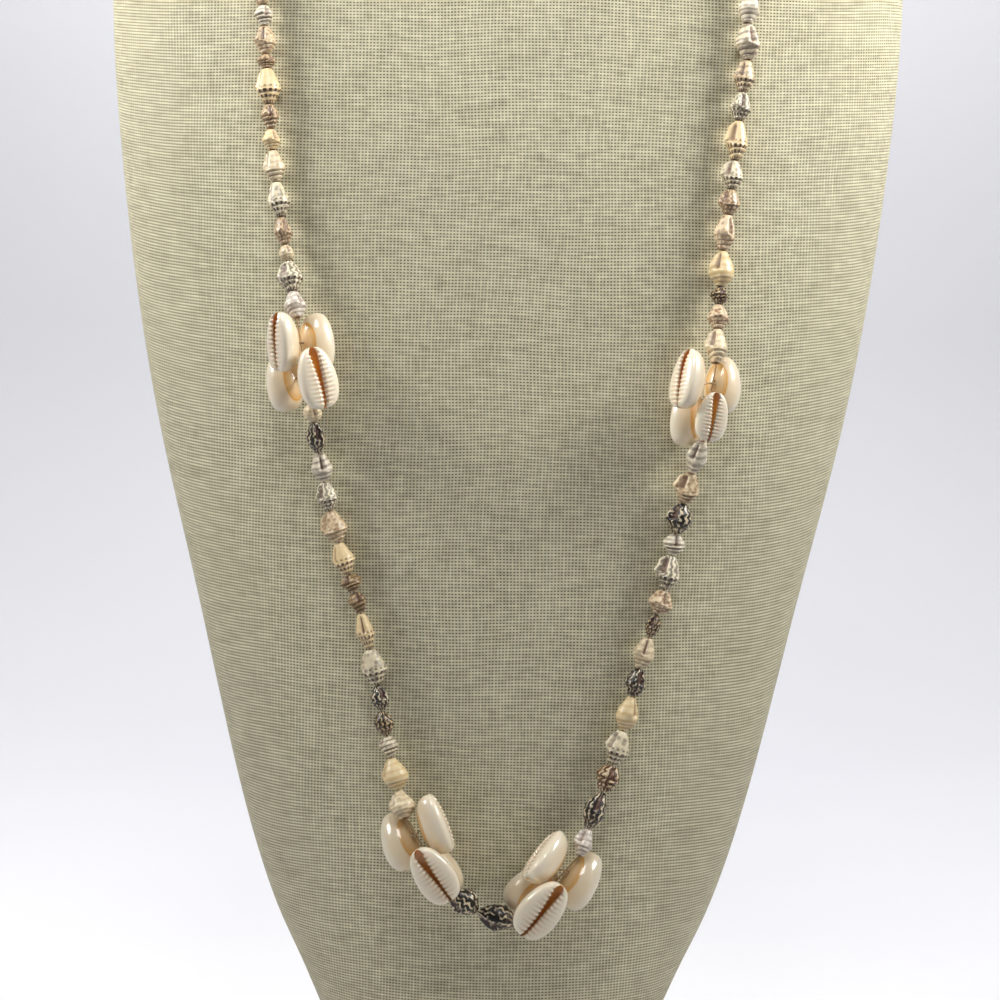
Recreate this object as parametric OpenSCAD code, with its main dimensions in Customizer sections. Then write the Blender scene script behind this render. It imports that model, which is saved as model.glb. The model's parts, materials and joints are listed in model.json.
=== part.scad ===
// Cowrie shell necklace on a linen neck bust.
// The foot of the bust stands on z = 0, its front looks along -Y, and +Z is up.

/* [Bust] */
// Height from the foot to the top of the neck
bust_h = 440; // [410:5:480]
// Width across the shoulders
bust_w = 239; // [215:1:260]
// How far the chest stands in front of the bust's axis
chest_front = 52; // [44:1:60]
// How far the shoulder blades stand behind the axis
chest_back = 40; // [34:1:50]
// Width of the neck
neck_w = 104; // [90:1:115]
// Depth of the neck
neck_d = 80; // [70:1:90]
// Width of the flat foot
foot_w = 84; // [74:1:98]
// Depth of the flat foot
foot_d = 72; // [66:1:80]

/* [Thread] */
// Diameter of the stringing thread
thread_d = 0.5; // [0.3:0.05:0.8]
// Length of bare thread that runs through a cowrie cluster
cluster_len = 24; // [23.4:0.2:27]

/* [Small shells] */
// Length of a shell of size 8 in the charts
shell_len = 8; // [6:0.1:10]
// Width of a shell of size 6 in the charts
shell_w = 6; // [5:0.1:7]
// Diameter of the hole along a small shell
shell_bore = 1.1; // [1:0.05:1.4]
// Least wall left round that hole at a shell's ends
shell_end_wall = 0.25; // [0.15:0.05:0.5]
// Gap between neighbouring shells on the thread
shell_gap = 0.4; // [0.3:0.05:0.7]
// Width of the aperture groove beside the lip
groove_w = 1; // [0.6:0.1:1.4]
// Thickness of the flared outer lip
lip_t = 0.5; // [0.4:0.05:0.9]
// How far the lip stands out of the body whorl
lip_out = 0.7; // [0.4:0.1:1.1]

/* [Cowries] */
// Length of a cowrie
cowrie_l = 17.2; // [15.6:0.2:18.6]
// Width of a cowrie
cowrie_w = 11; // [10:0.2:12]
// Height from the toothed side to the top of the hump
cowrie_h = 8; // [7.2:0.1:9]
// Wall of the hump and the sides
cowrie_wall = 1.2; // [0.8:0.1:1.6]
// Thickness of the rolled lips beside the slit
cowrie_lip = 1.7; // [1.2:0.1:2.2]
// Width of the slit between the teeth
slit_w = 1.5; // [1:0.1:2]
// How far the teeth reach into the slit from each side
tooth = 0.26; // [0.1:0.02:0.36]
// Gap between the thread's centre line and the humps
hump_gap = 1.2; // [1.15:0.05:1.6]

/* [Ties] */
// Diameter of the cord that ties a pair of cowries
tie_d = 0.4; // [0.3:0.05:0.6]
// Diameter of the hole drilled through a hump
drill_d = 1.3; // [1:0.1:2]
// Diameter of the knot inside a cowrie
knot_d = 1.7; // [1.5:0.1:2.2]

/* [Hidden] */
$fn = 48;
// Clearance between the thread and a tie's loop
tie_clear = 0.12;
// Sides of the swept thread
thread_sides = 6;
// Radius of a small shell's end, for the room that a bend of the strand takes
shell_end_r = 1.4;
// Room between a knot and the roof of the hollow, and from the hump to the middle of a tie's elbow
knot_clear = 0.4;
elbow_out = 0.42;
// The tie's loop and elbows are this much thicker than its straight runs
tie_swell = 1.4;
// and the runs from the loop to the elbows this much
run_swell = 1.15;
// Turn of the loop's seam, where no end leaves it
loop_seam = 65;
// Steps of the smooth route between two chosen points
route_steps = 8;
// Rings and sides of the bust
bust_rings = 26;
bust_sides = 40;
// Rings along a cowrie, and the turn of its first and last ring from the tip
cowrie_rings = 18;
tip_turn = 9;

CLUSTERS = ["1", "2", "3", "4"];
PLACES = ["a", "b", "c", "d"];
STRINGS = [
    "shells_left_upper", "shells_left_side", "shells_bottom", "shells_right_side", "shells_right_upper"
];

// Form of the bust: height, half width, depth in front of the axis, depth behind it
BUST = [
    [0.000 * bust_h, foot_w / 2, foot_d / 2, foot_d / 2],
    [0.032 * bust_h, foot_w / 2, foot_d / 2, foot_d / 2],
    [0.095 * bust_h, 0.431 * bust_w / 2, 0.73 * chest_front, 0.90 * chest_back],
    [0.164 * bust_h, 0.549 * bust_w / 2, 0.79 * chest_front, 0.92 * chest_back],
    [0.233 * bust_h, 0.633 * bust_w / 2, 0.84 * chest_front, 0.94 * chest_back],
    [0.372 * bust_h, 0.758 * bust_w / 2, 0.92 * chest_front, 0.97 * chest_back],
    [0.511 * bust_h, 0.880 * bust_w / 2, 0.98 * chest_front, 1.00 * chest_back],
    [0.649 * bust_h, 0.960 * bust_w / 2, 1.00 * chest_front, 1.00 * chest_back],
    [0.788 * bust_h, 1.000 * bust_w / 2, 0.96 * chest_front, 1.00 * chest_back],
    [0.840 * bust_h, 0.965 * bust_w / 2, 0.90 * chest_front, 1.00 * chest_back],
    [0.875 * bust_h, 0.860 * bust_w / 2, 0.84 * chest_front, 1.00 * chest_back],
    [0.900 * bust_h, 0.690 * bust_w / 2, 0.80 * chest_front, 1.00 * chest_back],
    [0.920 * bust_h, 1.180 * neck_w / 2, 0.98 * neck_d / 2, 1.04 * neck_d / 2],
    [0.945 * bust_h, 1.020 * neck_w / 2, 0.95 * neck_d / 2, 1.04 * neck_d / 2],
    [1.000 * bust_h, 1.000 * neck_w / 2, 0.95 * neck_d / 2, 1.04 * neck_d / 2]
];

// Height from which the visible strands are measured down
chest_z = 0.759 * bust_h;

// Route of the strand, chosen by hand. Each row on the chest holds the place across,
// the drop below the chest line and the lift of the thread off the linen.
LEFT_CHEST = [
    [-68.5, 1, 4], [-66.5, 25, 4], [-65, 42, 4], [-62.5, 60, 4.2], [-59.5, 76, 6]
];
CLUSTER_1 = [[-56.5, 90.5, 10.3], [-52, 115, 10.6]];
LEFT_SIDE = [
    [-50, 129, 5.5], [-47.5, 142, 4], [-43.5, 156, 4], [-39, 169, 4],
    [-34, 187, 4], [-31, 203, 4.4], [-27, 219, 6.5]
];
CLUSTER_2 = [[-24.5, 228.5, 10.3], [-11, 248.5, 10.6]];
BOTTOM = [[-3.2, 254.6, 8.4]];
CLUSTER_3 = [[7, 256.5, 10.8], [24, 238, 10.4]];
RIGHT_SIDE = [
    [28, 227, 6.5], [33.5, 212, 4.4], [37.5, 197, 4], [41.5, 181, 4],
    [46, 167, 4], [49.5, 149, 4], [52.5, 134, 5.5]
];
CLUSTER_4 = [[56, 121, 10.6], [59, 103, 10.3]];
// Bare thread of each cluster as a share of the common length
CLUSTER_SHARES = [1, 1, 1.04, 0.9];
RIGHT_CHEST = [
    [60, 88, 6], [60.5, 76, 4.2], [62.5, 58, 4], [64.5, 38, 4], [67, 16, 4], [67.5, -1, 4]
];
// Rows round the neck hold the angle from the front, the share of the bust's height and the lift
LEFT_NECK = [
    [180, 0.925, 4.4], [-150, 0.922, 4.4], [-120, 0.918, 4.6], [-90, 0.913, 5], [-67, 0.905, 5.4],
    [-54, 0.893, 5.4], [-43, 0.872, 4.8], [-37.5, 0.838, 4.4], [-36, 0.798, 4.2]
];

// Kinds of small shell: letter, then the outline from the narrow end to the spire as pairs
// of place along, a share of the length, and radius, a share of the half width
KINDS = [
    ["c", [[0, 0.4], [0.06, 0.52], [0.26, 0.74], [0.5, 0.94], [0.6, 1], [0.67, 0.97],
        [0.69, 0.8], [0.79, 0.8], [0.81, 0.62], [0.9, 0.6], [0.92, 0.46], [1, 0.4]]],
    ["s", [[0, 0.46], [0.1, 0.6], [0.34, 0.94], [0.44, 1], [0.52, 0.98],
        [0.54, 0.84], [0.7, 0.86], [0.73, 0.66], [0.85, 0.63], [0.88, 0.48], [1, 0.42]]],
    ["t", [[0, 0.36], [0.07, 0.5], [0.28, 0.84], [0.48, 1], [0.64, 0.97],
        [0.78, 0.8], [0.9, 0.54], [1, 0.36]]],
    ["o", [[0, 0.34], [0.09, 0.46], [0.36, 0.84], [0.54, 0.99], [0.72, 0.95],
        [0.82, 0.78], [0.9, 0.54], [1, 0.38]]],
    ["l", [[0, 0.38], [0.1, 0.52], [0.34, 0.78], [0.56, 0.97], [0.66, 1], [0.74, 0.92],
        [0.76, 0.74], [0.87, 0.68], [0.89, 0.5], [1, 0.42]]],
    ["e", [[0, 0.44], [0.12, 0.7], [0.34, 0.95], [0.5, 1], [0.66, 0.95], [0.88, 0.72], [1, 0.42]]]
];
// Finishes of small shell: letter and colour
FINISHES = [
    ["w", "#ece7e0"], ["g", "#c9c4c2"], ["p", "#e3c4a5"], ["m", "#a98d80"], ["y", "#ecc98b"],
    ["d", "#d8cfc4"], ["b", "#4a3b33"], ["z", "#8d8378"], ["i", "#f1e2bd"], ["r", "#dccdb8"]
];
// Flared lip beside the aperture: place along and reach off the axis as shares of the shell,
// then how far it stands out beyond that as a share of lip_out
LIP = [[0.16, 0.6, 1], [0.44, 0.96, 1], [0.64, 0.8, 0]];
// The lip starts here, and the aperture groove runs between these shares of the length
lip_start = 0.08;
groove_from = 0.12;
groove_to = 0.58;
// The groove's floor, as a share of the shell's radius
groove_floor = 0.62;
// Turn of the aperture: fixed for the lipped kind, spread over this fan for the others
lipped_turn = 10;
turn_step = 53;
turn_fan = 150;

// Charts of the shells, read downwards from the nape or a cluster. Each shell is a kind, its
// length and its width in the size letters below, and a finish.
SIZES = "0123456789AB";
// A stretch may be overfilled by this share of a hidden shell
fill_more = 0.3;
HIDDEN_CHART = [
    "c86w", "t86z", "c76p", "s65g", "o96i", "c97d", "s55m", "l86w", "c86r", "t75b"
];
LEFT_CHEST_CHART = [
    "cA6p", "s65w", "c86p", "s45m", "cA7i", "s75m", "c65y", "l96w", "cA6d", "c85m", "e54r",
    "c97d", "c86g"
];
LEFT_SIDE_CHART = [
    "e55r", "t95b", "c86g", "c86d", "l97d", "c96y", "s56m", "s65r", "cA5y", "cA7w", "t75b",
    "t75b", "s65g", "o97i", "o87w"
];
BOTTOM_CHART = ["t97b", "tB7b"];
RIGHT_SIDE_CHART = [
    "cA6g", "l97r", "t97b", "s66g", "lA7z", "c77r", "t74b", "c96w", "c86z", "oA6i", "cA7d",
    "s87z", "tB6d", "l85w"
];
RIGHT_CHEST_CHART = [
    "cA6r", "c96g", "cA7g", "c96m", "c86z", "lB6y", "l86g", "c76z", "cA6p", "oA7i", "s55b",
    "c76p", "lA6w"
];

// Form of a cowrie: its middle margin as a share of the height, and how much fuller the broad
// end is than the narrow one across, in height and along the slit
margin_share = 0.3;
broad_across = 0.14;
broad_high = 0.08;
broad_slit = -0.25;
// Powers that round its outline off toward the ends, across, over the hump and below
round_across = 0.74;
round_over = 0.75;
round_below = 0.6;

// Cowries, four rows to a cluster: two of the upper tier, then two of the lower one.
// Columns: turn round the thread from the front, lean of the upper end away from the
// thread, swing of the long axis, size, slide up the thread, stand off it
COWRIES = [
    [[-40, 0, 15, 0.96, 0, 0], [155, 3, -5, 1, -1, 0],
        [40, 4, -5, 1, -0.5, 1], [-120, 2, -5, 1, 1, 3]],
    [[-120, 2, -30, 1, 1.5, 0], [95, 10, 0, 1, 0.5, 0.5],
        [0, 5, 0, 1, 1, 0.5], [188, 4, 0, 0.92, -0.5, 0.5]],
    [[-90, 0, -30, 1, 0, 0.5], [115, -3, 25, 1.02, 1.5, 0],
        [5, 4, -5, 1.04, 1, 1], [-160, 0, -10, 1, 2, 0.3]],
    [[-75, -5, -5, 0.98, -0.5, 2.5], [135, 5, 10, 0.96, 0.5, 0],
        [-5, 3, 0, 0.8, 0.5, 0], [-145, 5, 0, 0.98, 0, 0.5]]
];
// Where the tiers sit on the bare thread, as shares of its length
upper_tier = 0.26;
lower_tier = 0.72;

// Sections of a cowrie, outside, from one lip over the hump to the other: share of the
// half width, then share of the way from the base to the margin or from there to the top
OUTER = [[0.42, -1], [0.8, -0.86], [1, 0], [0.9, 0.42], [0.6, 0.82]];
// Sections of its hollow: share of the half width and of the hollow's height
INNER = [[0.7, 0.04], [1, 0.4]];
// Toward the ends the slit, the floor and roof of the hollow and its width keep to these
// shares of the section; the slit's edge is sunk a little into the base
slit_share = 0.34;
floor_share = 0.36;
roof_share = 0.66;
hollow_share = 0.6;
slit_sunk = 0.1;

function unit(v) = v / norm(v);

// Smooth value of one column of a table at a height, with the rows' own slopes
function row_slope(t, i, c) = let (a = max(i - 1, 0), b = min(i + 1, len(t) - 1))
    (t[b][c] - t[a][c]) / (t[b][0] - t[a][0]);
function row_below(t, z) = max([for (i = [0:len(t) - 2]) if (i == 0 || t[i][0] <= z) i]);
function smooth(t, c, z) = let (
    i = row_below(t, z),
    h = t[i + 1][0] - t[i][0],
    k = min(max((z - t[i][0]) / h, 0), 1)
) t[i][c] * (1 + 2 * k) * pow(1 - k, 2) + t[i + 1][c] * k * k * (3 - 2 * k)
    + h * row_slope(t, i, c) * k * pow(1 - k, 2) - h * row_slope(t, i + 1, c) * k * k * (1 - k);

// A point on the linen at an angle from the front and a height, and the outward direction there
function depth_at(angle, z) = cos(angle) >= 0 ? smooth(BUST, 2, z) : smooth(BUST, 3, z);
function linen(angle, z) = [smooth(BUST, 1, z) * sin(angle), -depth_at(angle, z) * cos(angle), z];
function outward(angle, z) = unit(cross(
    linen(angle + 1, z) - linen(angle - 1, z),
    linen(angle, z + 1) - linen(angle, z - 1)
));
function angle_at(across, z) = asin(max(min(across / smooth(BUST, 1, z), 0.98), -0.98));

// Rows of the route turned into points
function on_chest(row) = let (
    z = chest_z - row[1],
    angle = angle_at(row[0], z),
    out = outward(angle, z)
) linen(angle, z) + [0, row[2] / out[1], 0];
function on_neck(row) = let (z = row[1] * bust_h)
    linen(row[0], z) + row[2] * outward(row[0], z);
function mirrored(row) = [-row[0], row[1], row[2]];
function reversed(list) = [for (i = [len(list) - 1:-1:0]) list[i]];

// The cluster's bare thread has its set length about the middle of its two chosen points
function cluster_ends(rows, share) = let (
    a = on_chest(rows[0]),
    b = on_chest(rows[1]),
    m = (a + b) / 2,
    half = unit(b - a) * cluster_len * share / 2
) [m - half, m + half];
ROUTES = [CLUSTER_1, CLUSTER_2, CLUSTER_3, CLUSTER_4];
ENDS = [for (c = [0:3]) cluster_ends(ROUTES[c], CLUSTER_SHARES[c])];

// The five stretches that carry small shells, each from end to end
STRETCHES = [
    concat([for (r = LEFT_NECK) on_neck(r)], [for (r = LEFT_CHEST) on_chest(r)], [ENDS[0][0]]),
    concat([ENDS[0][1]], [for (r = LEFT_SIDE) on_chest(r)], [ENDS[1][0]]),
    concat([ENDS[1][1]], [for (r = BOTTOM) on_chest(r)], [ENDS[2][0]]),
    concat([ENDS[2][1]], [for (r = RIGHT_SIDE) on_chest(r)], [ENDS[3][0]]),
    concat([ENDS[3][1]], [for (r = RIGHT_CHEST) on_chest(r)],
        [for (r = reversed(LEFT_NECK)) on_neck(mirrored(r))])
];

// A smooth line through chosen points
function bend(p, i, k) = let (
    a = p[max(i - 1, 0)],
    b = p[i],
    c = p[i + 1],
    d = p[min(i + 2, len(p) - 1)],
    m0 = (c - a) / 2,
    m1 = (d - b) / 2
) b * (1 + 2 * k) * pow(1 - k, 2) + c * k * k * (3 - 2 * k)
    + m0 * k * pow(1 - k, 2) - m1 * k * k * (1 - k);
function smooth_line(p) = concat(
    [for (i = [0:len(p) - 2], j = [0:route_steps - 1]) bend(p, i, j / route_steps)],
    [p[len(p) - 1]]
);
function run_lengths(p, i = 0, sum = 0) = i == len(p) - 1 ? [sum]
    : concat([sum], run_lengths(p, i + 1, sum + norm(p[i + 1] - p[i])));
LINES = [for (s = STRETCHES) smooth_line(s)];
RUNS = [for (l = LINES) run_lengths(l)];
function run_table(k, c) = [for (i = [0:len(LINES[k]) - 1]) [RUNS[k][i], LINES[k][i][c]]];
TABLES = [for (k = [0:4]) [for (c = [0:2]) run_table(k, c)]];
function along(k, s) = [for (c = [0:2]) lookup(s, TABLES[k][c])];
function stretch_len(k) = RUNS[k][len(RUNS[k]) - 1];

// Nominal length of a charted shell, and the chart of a stretch read downwards. The hidden
// shells above a chest chart fill the rest of the way to the nape.
function charted(name) = search(name[1], SIZES)[0] * shell_len / 8;
function charted_width(name) = search(name[2], SIZES)[0] * shell_w / 6;
function total(list, i = 0) = i == len(list) ? 0 : list[i] + total(list, i + 1);
function chart_len(chart) = total([for (name = chart) charted(name)]);
function filled(chart, room) = let (
    short = room - chart_len(chart),
    mean = chart_len(HIDDEN_CHART) / len(HIDDEN_CHART),
    count = max(floor(short / mean + fill_more), 0)
) concat([for (i = [count:-1:1]) HIDDEN_CHART[i % len(HIDDEN_CHART)]], chart);
CHARTS = [
    filled(LEFT_CHEST_CHART, stretch_len(0)),
    filled(LEFT_SIDE_CHART, stretch_len(1)),
    BOTTOM_CHART,
    filled(RIGHT_SIDE_CHART, stretch_len(3)),
    filled(RIGHT_CHEST_CHART, stretch_len(4))
];

// Stretches 3 and 4 climb, so their shells are laid from the far end
function climbs(k) = k >= 3;
function joints(k) = let (
    chart = CHARTS[k],
    scale_to_fit = stretch_len(k) / chart_len(chart),
    steps = [for (name = chart) charted(name) * scale_to_fit],
    stops = [for (i = [0:len(steps)]) total([for (j = [0:1:i - 1]) steps[j]])]
) [for (s = stops) along(k, climbs(k) ? stretch_len(k) - s : s)];
JOINTS = [for (k = [0:4]) joints(k)];

// Room left on the thread at a joint: half the gap, and more where the strand bends
function bend_at(k, i) = i == 0 || i == len(JOINTS[k]) - 1 ? 0 : let (
    a = unit(JOINTS[k][i] - JOINTS[k][i - 1]),
    b = unit(JOINTS[k][i + 1] - JOINTS[k][i])
) acos(min(a * b, 1));
function room_at(k, i) = shell_gap / 2 + shell_end_r * tan(bend_at(k, i) / 2);

// Outward direction beside any point of the route, across the given run of the thread
function away(p, t) = let (
    z = p[2],
    d = p[1] <= 0 ? smooth(BUST, 2, z) : smooth(BUST, 3, z),
    n = [p[0] / pow(smooth(BUST, 1, z), 2), p[1] / pow(d, 2), 0]
) unit(n - (n * t) * t);
// Frame with z along t, x outward and its origin at p
function frame_at(p, t, out) = let (side = cross(t, out)) [
    [out[0], side[0], t[0], p[0]],
    [out[1], side[1], t[1], p[1]],
    [out[2], side[2], t[2], p[2]],
    [0, 0, 0, 1]
];

// One small shell along +z from its narrow end, with its aperture turned to the angle face
module small_shell(kind, length, width, face) {
    r = width / 2;
    least = shell_bore / 2 + shell_end_wall;
    shares = KINDS[search([kind], KINDS)[0]][1];
    outline = [for (q = shares) [max(q[1] * r, least), q[0] * length]];
    top = len(outline) - 1;
    difference() {
        union() {
            rotate_extrude()
                polygon(concat([[shell_bore / 2, 0]], outline, [[shell_bore / 2, outline[top][1]]]));
            if (kind == "l" || kind == "o" || kind == "t")
                rotate([0, 0, face])
                    translate([0, groove_w / 2, 0])
                        rotate([90, 0, 0])
                            translate([0, 0, -lip_t])
                                linear_extrude(lip_t)
                                    polygon(concat(
                                        [[least, lip_start * length]],
                                        [for (q = LIP) [q[1] * r + q[2] * lip_out, q[0] * length]],
                                        [[least, LIP[2][0] * length]]
                                    ));
        }
        if (kind != "e" && kind != "s")
            rotate([0, 0, face])
                translate([groove_floor * r, -groove_w / 2, groove_from * length])
                    cube([r, groove_w, (groove_to - groove_from) * length]);
        cylinder(d = shell_bore, h = 3 * length, center = true);
    }
}

// Which way the aperture of the i-th shell of a string looks, never towards the linen
function facing(kind, i) = kind == "l" ? lipped_turn : (i * turn_step) % turn_fan - turn_fan / 2;
function finish_colour(name) = FINISHES[search([name[3]], FINISHES)[0]][1];

module shell_string(k) {
    for (i = [0:len(CHARTS[k]) - 1]) {
        name = CHARTS[k][i];
        a = JOINTS[k][i];
        b = JOINTS[k][i + 1];
        t = unit(b - a);
        color(finish_colour(name))
            multmatrix(frame_at(a, t, away((a + b) / 2, t)))
                translate([0, 0, room_at(k, i)])
                    small_shell(
                        name[0],
                        norm(b - a) - room_at(k, i) - room_at(k, i + 1),
                        charted_width(name),
                        facing(name[0], i)
                    );
    }
}

// Points of the whole thread, round the loop from the nape
THREAD_POINTS = concat(
    JOINTS[0],
    JOINTS[1],
    JOINTS[2],
    reversed(JOINTS[3]),
    [for (i = [len(JOINTS[4]) - 1:-1:1]) JOINTS[4][i]]
);

module thread() {
    n = len(THREAD_POINTS);
    rings = [for (i = [0:n - 1]) let (
        p = THREAD_POINTS[i],
        before = unit(p - THREAD_POINTS[(i + n - 1) % n]),
        after = unit(THREAD_POINTS[(i + 1) % n] - p),
        t = unit(before + after),
        out = away(p, t),
        side = cross(t, out)
    ) for (j = [0:thread_sides - 1])
        p + thread_d / 2 * (cos(360 * j / thread_sides) * out + sin(360 * j / thread_sides) * side)];
    faces = [for (i = [0:n - 1], j = [0:thread_sides - 1]) let (
        a = i * thread_sides + j,
        b = i * thread_sides + (j + 1) % thread_sides,
        c = ((i + 1) % n) * thread_sides + j,
        d = ((i + 1) % n) * thread_sides + (j + 1) % thread_sides
    ) each [[a, c, b], [b, c, d]]];
    color("#e9e2d0")
        polyhedron(points = rings, faces = faces, convexity = 6);
}

module bust() {
    rings = [for (i = [0:bust_rings - 1]) bust_h * i / (bust_rings - 1)];
    points = concat(
        [[0, 0, 0]],
        [for (z = rings, j = [0:bust_sides - 1]) linen(360 * j / bust_sides, z)],
        [[0, 0, bust_h]]
    );
    last = len(points) - 1;
    walls = [for (i = [0:bust_rings - 2], j = [0:bust_sides - 1]) let (
        a = 1 + i * bust_sides + j,
        b = 1 + i * bust_sides + (j + 1) % bust_sides,
        c = a + bust_sides,
        d = b + bust_sides
    ) each [[a, c, b], [b, c, d]]];
    foot = [for (j = [0:bust_sides - 1]) [0, 1 + j, 1 + (j + 1) % bust_sides]];
    crown = [for (j = [0:bust_sides - 1])
        [last, last - bust_sides + (j + 1) % bust_sides, last - bust_sides + j]];
    color("#c9c2a2")
        polyhedron(points = points, faces = concat(walls, foot, crown), convexity = 4);
}

// Half width, base and top of a cowrie's section. The turn runs from 0 at the broad end
// to 180 at the narrow one.
margin_z = margin_share * cowrie_h;
function half_width(turn) = cowrie_w / 2 * pow(sin(turn), round_across) * (1 + broad_across * cos(turn));
function base_z(turn) = margin_z * (1 - pow(sin(turn), round_below));
function top_z(turn) = margin_z
    + (cowrie_h - margin_z) * pow(sin(turn), round_over) * (1 + broad_high * cos(turn));
function slit_half(turn, ring) = min(
    slit_share * half_width(turn),
    slit_w / 2 * (1 + broad_slit * cos(turn)) - (ring % 2) * tooth
);

// One closed section: outside from lip to lip, then back through the hollow
function cowrie_section(turn, ring) = let (
    x = -cowrie_l / 2 * cos(turn),
    w = half_width(turn),
    zb = base_z(turn),
    zt = top_z(turn),
    zm = margin_z,
    s = slit_half(turn, ring),
    side = [for (q = OUTER) [q[0] * w, q[1] < 0 ? zm + q[1] * (zm - zb) : zm + q[1] * (zt - zm)]],
    floor_z = min(zb + cowrie_lip, zb + floor_share * (zt - zb)),
    roof_z = max(zt - cowrie_wall, zb + roof_share * (zt - zb)),
    wi = max(w - cowrie_wall, hollow_share * w),
    hollow = [for (q = INNER) [q[0] * wi, floor_z + q[1] * (roof_z - floor_z)]],
    right = concat([[s, zb + slit_sunk]], side),
    inner = concat([[s, floor_z]], hollow),
    yz = concat(
        right,
        [[0, zt]],
        [for (q = reversed(right)) [-q[0], q[1]]],
        [for (q = inner) [-q[0], q[1]]],
        [[0, roof_z]],
        reversed(inner)
    )
) [for (q = yz) [x, q[0], q[1]]];

module cowrie_shell() {
    turns = [for (i = [0:cowrie_rings - 1]) tip_turn + (180 - 2 * tip_turn) * i / (cowrie_rings - 1)];
    sections = [for (i = [0:cowrie_rings - 1]) cowrie_section(turns[i], i)];
    n = len(sections[0]);
    outer_n = 2 * len(OUTER) + 3;
    inner_n = n - outer_n;
    walls = [for (i = [0:cowrie_rings - 2], j = [0:n - 1]) let (
        a = i * n + j,
        b = i * n + (j + 1) % n
    ) each [[a, a + n, b], [b, a + n, b + n]]];
    // The end caps pair two steps of the outside with one step of the hollow
    cap = [for (j = [0:inner_n - 2]) let (
        a = 2 * j,
        p = n - 1 - j,
        q = n - 2 - j
    ) each [[a, a + 1, p], [p, a + 1, q], [a + 1, a + 2, q]]];
    shift = (cowrie_rings - 1) * n;
    caps = concat(
        [for (f = cap) [f[0], f[1], f[2]]],
        [for (f = cap) [f[0] + shift, f[2] + shift, f[1] + shift]]
    );
    difference() {
        polyhedron(points = [for (s = sections) each s], faces = concat(walls, caps), convexity = 6);
        translate([0, 0, cowrie_h / 2])
            cylinder(d = drill_d, h = cowrie_h);
    }
}

// Frame of a cluster: the thread's point at a share of its bare run, its run upwards and
// the direction off it at a turn from the front
function tier_point(c, share) = ENDS[c][0] + (ENDS[c][1] - ENDS[c][0]) * (c < 2 ? share : 1 - share);
function tier_run(c) = unit((ENDS[c][0] - ENDS[c][1]) * (c < 2 ? 1 : -1));
function radial(c, turn) = let (
    t = tier_run(c),
    out = away(tier_point(c, 0.5), t),
    side = cross(t, out)
) cos(turn) * out + sin(turn) * side;

// The thread's point beside a cowrie
function beside(c, place) = tier_point(c, place < 2 ? upper_tier : lower_tier)
    + COWRIES[c][place][4] * tier_run(c);

// A cowrie's frame: x up the thread, z from its slit in towards the thread
function cowrie_frame(c, place) = let (
    x = tier_run(c),
    z = -radial(c, COWRIES[c][place][0]),
    y = cross(z, x),
    p = beside(c, place)
) [
    [x[0], y[0], z[0], p[0]],
    [x[1], y[1], z[1], p[1]],
    [x[2], y[2], z[2], p[2]],
    [0, 0, 0, 1]
];
// Distance of a cowrie's middle from the thread
function reach(c, place) = let (row = COWRIES[c][place]) hump_gap + row[5] + cowrie_h * row[3] / 2;

module cowrie(c, place) {
    row = COWRIES[c][place];
    color("#efdcc3")
        multmatrix(cowrie_frame(c, place))
            translate([0, 0, -reach(c, place)])
                rotate([0, row[1], 0])
                    rotate([0, 0, row[2]])
                        scale(row[3])
                            translate([0, 0, -cowrie_h / 2])
                                cowrie_shell();
}

// A point on the axis of a cowrie's drilled hole, at a depth measured from its middle outwards
function hole_point(c, place, depth) = let (
    row = COWRIES[c][place],
    m = cowrie_frame(c, place),
    local = [sin(row[1]) * depth, 0, cos(row[1]) * depth - reach(c, place), 1]
) [for (i = [0:2]) m[i] * local];
function knot_point(c, place) = let (roof = (cowrie_h / 2 - cowrie_wall) * COWRIES[c][place][3])
    hole_point(c, place, roof - knot_d / 2 - knot_clear);
function elbow_point(c, place) = hole_point(c, place, cowrie_h / 2 * COWRIES[c][place][3] + elbow_out);

// Frame with z along the run from p to q. A run this near upright is turned about X instead of Z.
steep = 0.9;
function run_frame(p, q) = let (
    t = unit(q - p),
    out = unit(cross(t, abs(t[2]) < steep ? [0, 0, 1] : [1, 0, 0]))
) frame_at(p, t, out);

// A tie of one tier: its loop round the thread, and an end to the knot inside each cowrie
module tie(c, tier) {
    thick = tie_d * tie_swell;
    loop_r = thread_d / 2 + tie_clear + thick / 2;
    pair = [2 * tier, 2 * tier + 1];
    p = (beside(c, pair[0]) + beside(c, pair[1])) / 2;
    color("#e9e2d0") {
        multmatrix(frame_at(p, tier_run(c), radial(c, loop_seam)))
            rotate_extrude()
                translate([loop_r, 0])
                    circle(d = thick);
        for (place = pair) {
            start = p + loop_r * radial(c, COWRIES[c][place][0]);
            knot = knot_point(c, place);
            elbow = elbow_point(c, place);
            multmatrix(run_frame(start, elbow))
                cylinder(d = tie_d * run_swell, h = norm(elbow - start));
            multmatrix(run_frame(knot, elbow)) {
                sphere(d = knot_d);
                cylinder(d = tie_d, h = norm(elbow - knot));
                translate([0, 0, norm(elbow - knot)])
                    cube(thick, center = true);
            }
        }
    }
}

bust();
thread();
for (k = [0:4])
    shell_string(k);
for (c = [0:3], place = [0:3])
    cowrie(c, place);
for (c = [0:3], tier = [0:1])
    tie(c, tier);
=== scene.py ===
"""Cowrie shell necklace on a linen neck bust.

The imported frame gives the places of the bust, the shells, the thread and the ties. This script gives
the bust and the shells their finished forms, and every piece its surface. The thread and the ties keep
the frame's own form. It also sets the floor, the light and the camera.
"""

import json
import logging
import math
from dataclasses import dataclass, field
from enum import Enum

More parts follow.
